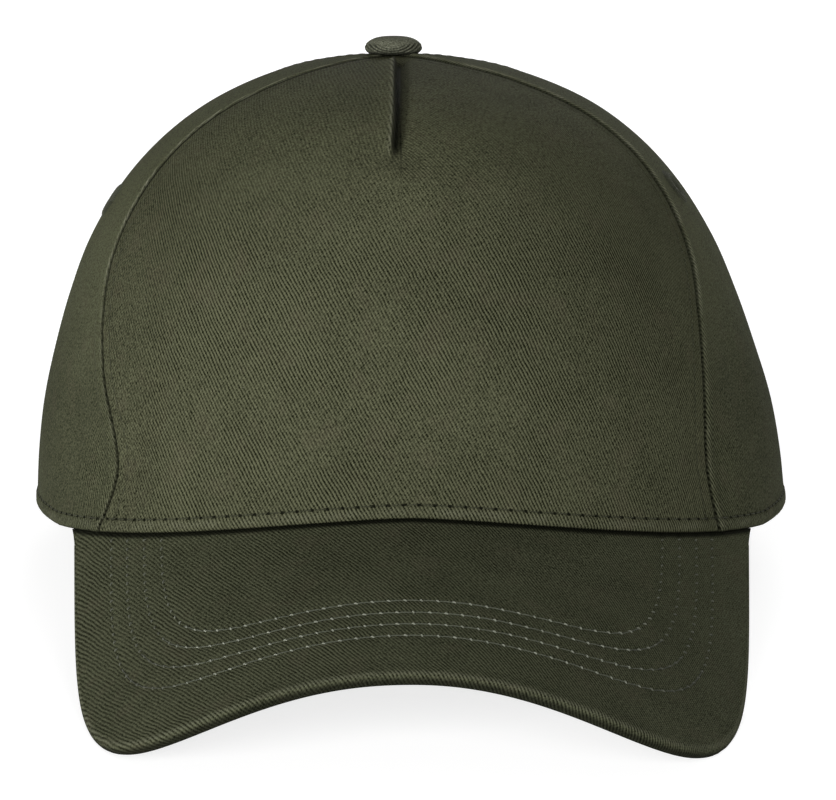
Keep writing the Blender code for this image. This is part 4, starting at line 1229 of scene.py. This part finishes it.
for number, line in enumerate(peakRowLines, 1):
    buildPeakRow(number, line)
print("peak stitched")

# Sweatband and strap, as the frame's solids lie; "sewn" gives the height shares of their rows
band = {"wall": 0.0011, "height": 0.0320, "raise": 0.0006, "lap": 0.0020, "rows": 22, "roll": 0.35 * mm,
        "sewn": (0.92, 0.09), "blendFrom": math.radians(14.0), "blendTo": math.radians(2.0)}
strap = {"wall": 0.0018, "height": 0.0200, "raise": 0.0013, "tuck": 0.0130, "rows": 26, "roll": 0.60 * mm,
         "sewn": (0.13, 0.87), "inset": 0.0015, "hidden": 14}


# The sweatband lies against the wall, and inside the strap where that is
def sweatbandInset(angle):
    plain = crown["frontWall"] + crown["clearance"]
    overStrap = strap["inset"] + strap["wall"] + crown["seamGap"]
    strapEnd = math.pi - rimAngle(archForm["halfWidth"] + strap["tuck"])
    share = smoothStep(strapEnd - band["blendFrom"], strapEnd - band["blendTo"], np.abs(angle))
    return plain + (overStrap - plain) * share


# A band of cloth inside the wall, sewn along both edges on the side that shows
def buildBand(node, form, angle, inset, material, slotName, thread, outside, shown):
    rise = crowdedShares(form["rows"], [(0.0, 0.08, 2.0), (1.0, 0.08, 2.0)])
    low = levelAtHeight(angle, form["raise"])
    high = levelAtHeight(angle, form["raise"] + form["height"])
    level = low[:, None] + (high - low)[:, None] * rise
    grid = np.broadcast_to(angle[:, None], level.shape)
    normal = crownNormal(grid, level)
    smooth = smoothCrown(grid, level)
    depth = softRelief(grid, level) - inset
    edge = np.minimum(rise, 1.0 - rise) * form["height"]
    roll = form["roll"] * (1.0 - smoothStep(0.0, 0.9 * mm, edge))
    outer = smooth + normal * (depth - roll)[..., None]
    inner = smooth + normal * (depth - form["wall"] + roll)[..., None]
    uv = clothCoordinates(smooth, len(angle) // 2)
    finishPiece(gridWall(node + "_cloth", toWorld(outer), toWorld(inner), material, uv), slotName, node)
    lie = depth + 0.03 * mm if outside else depth - form["wall"] - 0.03 * mm
    sewn = smooth + normal * lie[..., None]
    facing = normal if outside else -normal
    for number, share in enumerate(form["sewn"], 1):
        row = int(np.argmin(np.abs(rise - share)))
        name = f"stitches_{node.removeprefix('back_')}_{number}"
        points = sewn[shown, row]
        sewLine(name, slotName, points, facing[shown, row], points, thread, 700, seed=len(name))


bandEnd = math.pi - rimAngle(archForm["halfWidth"] + band["lap"])
bandAngles = np.linspace(-bandEnd, bandEnd, 261)
buildBand("sweatband", band, bandAngles, sweatbandInset(bandAngles)[:, None], bandCloth, "sweatband_cloth",
          bandThread, False, slice(None))
strapEnd = rimAngle(archForm["halfWidth"] + strap["tuck"])
strapAngles = np.linspace(math.pi - strapEnd, math.pi + strapEnd, 121)
buildBand("back_strap", strap, strapAngles, strap["inset"], strapTwill, "strap_twill", crownThread, True,
          slice(strap["hidden"], -strap["hidden"]))
print("sweatband and strap made")

button = {
    "radius": 0.0066, "height": 0.0040, "edgeHeight": 0.0012, "baseRadius": 0.0057, "shank": 0.0012,
    "plate": 0.0040, "plateWall": 0.0008, "around": 160, "rings": 60, "gatherPitch": 0.56 * mm,
    "gatherDepth": 0.14 * mm, "arcsFrom": 3.4 * mm, "arcsAt": 2.9 * mm, "arcsSpread": 1.3 * mm,
    "arcShade": 0.95, "underShade": 0.85, "plateShade": 0.75, "creases": 9, "creaseDepth": 0.05 * mm,
}


# Radius and height of the button's rings from the plate inside the crown to its top
def buttonProfile(seat, plate):
    inner = plate + button["plateWall"]
    base, edgeHeight = button["baseRadius"], button["edgeHeight"]
    lower = [(button["plate"], plate), (button["plate"], inner), (button["shank"], inner),
             (button["shank"], seat), (0.5 * base, seat), (base, seat)]
    side = [(base + (button["radius"] - base) * math.sin(0.5 * math.pi * part), seat + edgeHeight * part)
            for part in np.linspace(0.0, 1.0, 9)[1:]]
    turn = 0.5 * math.pi * np.linspace(0.0, 1.0, button["rings"] + 1)[1:-1]
    height = seat + edgeHeight + (button["height"] - edgeHeight) * np.sin(turn)
    return np.array(lower + side + list(zip(button["radius"] * np.cos(turn) ** 0.7, height)))


def buildButton():
    seat = crown["seamGap"]
    plate = -crown["frontWall"] - crown["clearance"] - button["plateWall"]
    around = 2.0 * math.pi * np.arange(button["around"]) / button["around"]
    radii, heights = [np.tile(column, (len(around), 1)) for column in buttonProfile(seat, plate).T]
    x = radii * np.sin(around)[:, None]
    y = -radii * np.cos(around)[:, None]
    # the cloth's gathers lie in nested arcs round a place high on the front of the button, with painted shade
    # in their grooves; painted shade also darkens the button's underside and its plate
    away = np.sqrt((x / 1.8 + 0.2 * mm) ** 2 + (heights - seat - button["arcsFrom"]) ** 2)
    strength = bump(away, button["arcsAt"], button["arcsSpread"]) * (y < 0.0)
    strength = strength * smoothStep(seat + 2.9 * mm, seat + 2.0 * mm, heights)
    arcs = np.cos(2.0 * math.pi * away / button["gatherPitch"])
    dark = button["arcShade"] * strength * (0.5 - 0.5 * arcs)
    underside = button["underShade"] * smoothStep(seat + 1.0 * mm, seat + 0.2 * mm, heights)
    shade = np.concatenate([np.maximum(dark, underside).ravel(), [button["plateShade"], 0.0]])
    creases = button["creaseDepth"] * np.cos(button["creases"] * around)[:, None]
    creases = creases * smoothStep(button["radius"] * 0.6, button["radius"], radii)
    grow = arcs * strength * button["gatherDepth"] + creases * smoothStep(seat, seat + 1.0 * mm, heights)
    outwards = unit(np.stack([x, y, 1.6 * (heights - seat)], -1))
    centre = np.array([-crown["lean"], 0.0, crown["height"]])
    points = centre + np.stack([x, y, heights], -1) + outwards * grow[..., None]
    foot = points[..., 0].size
    index = np.arange(foot).reshape(points.shape[:2])
    following = np.roll(index, -1, axis=0)
    faces = quads(index[:, :-1], following[:, :-1], following[:, 1:], index[:, 1:]).tolist()
    faces += [(foot, int(after[0]), int(here[0])) for here, after in zip(index, following)]
    faces += [(foot + 1, int(here[-1]), int(after[-1])) for here, after in zip(index, following)]
    ends = centre + np.array([[0.0, 0.0, plate], [0.0, 0.0, seat + button["height"]]])
    every = np.concatenate([points.reshape(-1, 3), ends])
    uv = np.stack([every[:, 0], every[:, 1] + 0.8 * every[:, 2]], -1)
    piece = addMesh("top_button_cloth", toWorld(every), faces, buttonCloth, uv, {"shade": shade})
    finishPiece(piece, "crown_twill", "top_button")


buildButton()
print("button made")


def eyeletRing(spot, radius, depth, count):
    centre = (np.radians([spot["angle"]]), np.array([spot["level"]]))
    turn = np.linspace(0.0, 2.0 * math.pi, count)
    angles = centre[0] + radius * np.cos(turn) / speedRound(*centre)
    return dentedCrown(angles, centre[1] + radius * np.sin(turn) / speedUp(*centre), depth)


def recalcOutwards(piece):
    maker = bmesh.new()
    maker.from_mesh(piece.data)
    bmesh.ops.recalc_face_normals(maker, faces=maker.faces)
    maker.to_mesh(piece.data)
    maker.free()


# A grooved ring set through the cloth, with thread wound over its outer face
def buildEyelet(name, spot):
    hole, outer, rise, depth = [eyeletForm[key] for key in ("hole", "outer", "rise", "depth")]
    neck = eyeletForm["cut"] - 0.1 * mm
    profile = [(hole, -depth), (outer * 0.86, -depth), (outer * 0.86, -depth + 0.5 * mm),
               (neck, -depth + 0.5 * mm), (neck, 0.03 * mm), (outer - 0.3 * mm, 0.03 * mm),
               (outer - 0.45 * mm, 0.4 * rise), (0.72 * outer, 0.62 * rise),
               (hole + 0.5 * mm, 0.5 * rise), (hole + 0.1 * mm, 0.1 * rise)]
    points = np.stack([eyeletRing(spot, radius, high, 73)[0][:-1] for radius, high in profile], 1)
    index = np.arange(points[..., 0].size).reshape(points.shape[:2])
    sideways = np.roll(index, -1, axis=0)
    faces = quads(index, np.roll(index, -1, axis=1), np.roll(sideways, -1, axis=1), sideways)
    piece = addMesh(name + "_base", toWorld(points), faces.tolist(), eyeletThread)
    bpy.context.view_layer.update()
    recalcOutwards(piece)
    finishPiece(piece, "eyelet_thread", name)
    line, normals = eyeletRing(spot, 0.5 * (outer + hole), 0.0, 240)
    wraps = eyeletForm["wraps"]
    share = np.linspace(0.0, 1.0 - 1.0 / wraps, 500)
    normals = unit(alongLine(line, share, normals))
    stitchRow(name + "_thread", "eyelet_thread", alongLine(line, share), normals, wraps,
              outer - hole + 0.3 * mm, eyeletThread, thread=eyeletForm["thread"], hump=rise,
              sink=0.25 * mm, turn=0.5 * math.pi, wobble=0.06, seed=7)


for eyeletName, spot in eyelets.items():
    buildEyelet(eyeletName, spot)
print("eyelets made")


# Camera at the photograph's place: given from the crown's rim plane, in the crown's frame
view = {"round": -0.2, "up": 7.4, "distance": 1.300, "target": (0.00163, 0.0, 0.0242), "lens": 240.0}

# Lights: the direction each stands in, in degrees round from the front and up, and its power
lights = {
    "key": {"round": -45.0, "up": 6.0, "power": 32.5},
    "left": {"round": -15.0, "up": 20.0, "power": 11.5},
    "right": {"round": 17.0, "up": 20.0, "power": 13.5},
    "backLeft": {"round": -140.0, "up": 40.0, "power": 2.5},
    "backRight": {"round": 140.0, "up": 40.0, "power": 6.0},
    "behind": {"round": 172.0, "up": 18.0, "power": 9.0},
}
lampForm = {"distance": 1.8, "size": 0.7, "aim": (0.0, -0.02, 0.06)}
surroundings = {"strength": 0.12, "floor": 0.42, "glow": 0.78}
white = (1.0, 1.0, 1.0, 1.0)


def direction(form):
    turn, up = math.radians(form["round"]), math.radians(form["up"])
    return Vector((math.sin(turn) * math.cos(up), -math.cos(turn) * math.cos(up), math.sin(up)))


# Stands a camera or lamp at a place, turned to its aim
def stand(name, data, place, aim):
    holder = newObject(name, data)
    holder.location = place
    holder.rotation_euler = (aim - place).to_track_quat("-Z", "Y").to_euler()
    return holder


def addCamera():
    camera = bpy.data.cameras.new("camera")
    camera.lens = view["lens"]
    camera.sensor_width = 36.0
    camera.clip_start = 0.05
    camera.clip_end = 50.0
    target = Vector(view["target"])
    place = crownPlace @ (target + direction(view) * view["distance"])
    bpy.context.scene.camera = stand("camera", camera, place, crownPlace @ target)


def addLights():
    aim = Vector(lampForm["aim"])
    for name, light in lights.items():
        lamp = bpy.data.lights.new(name, "AREA")
        lamp.shape = "DISK"
        lamp.size = lampForm["size"]
        lamp.energy = light["power"]
        stand(name, lamp, aim + direction(light) * lampForm["distance"], aim)
    world = bpy.data.worlds.new("studio")
    bpy.context.scene.world = world
    world.use_nodes = True
    background = world.node_tree.nodes["Background"]
    background.inputs["Color"].default_value = white
    background.inputs["Strength"].default_value = surroundings["strength"]
    bpy.context.scene.view_settings.view_transform = "Standard"
    bpy.context.scene.view_settings.look = "None"


def addFloor():
    bpy.ops.mesh.primitive_plane_add(size=30.0, location=(0.0, 0.0, 0.0))
    floor = bpy.context.object
    floor.name = "floor"
    material, graph = newMaterial("pale floor")
    pale = (*[surroundings["floor"]] * 3, 1.0)
    finishSurface(graph, {"Base Color": pale, "Roughness": 0.9, "Emission Color": white,
                          "Emission Strength": surroundings["glow"]})
    floor.data.materials.append(material)


addCamera()
addLights()
addFloor()
print("camera, lights and floor set")
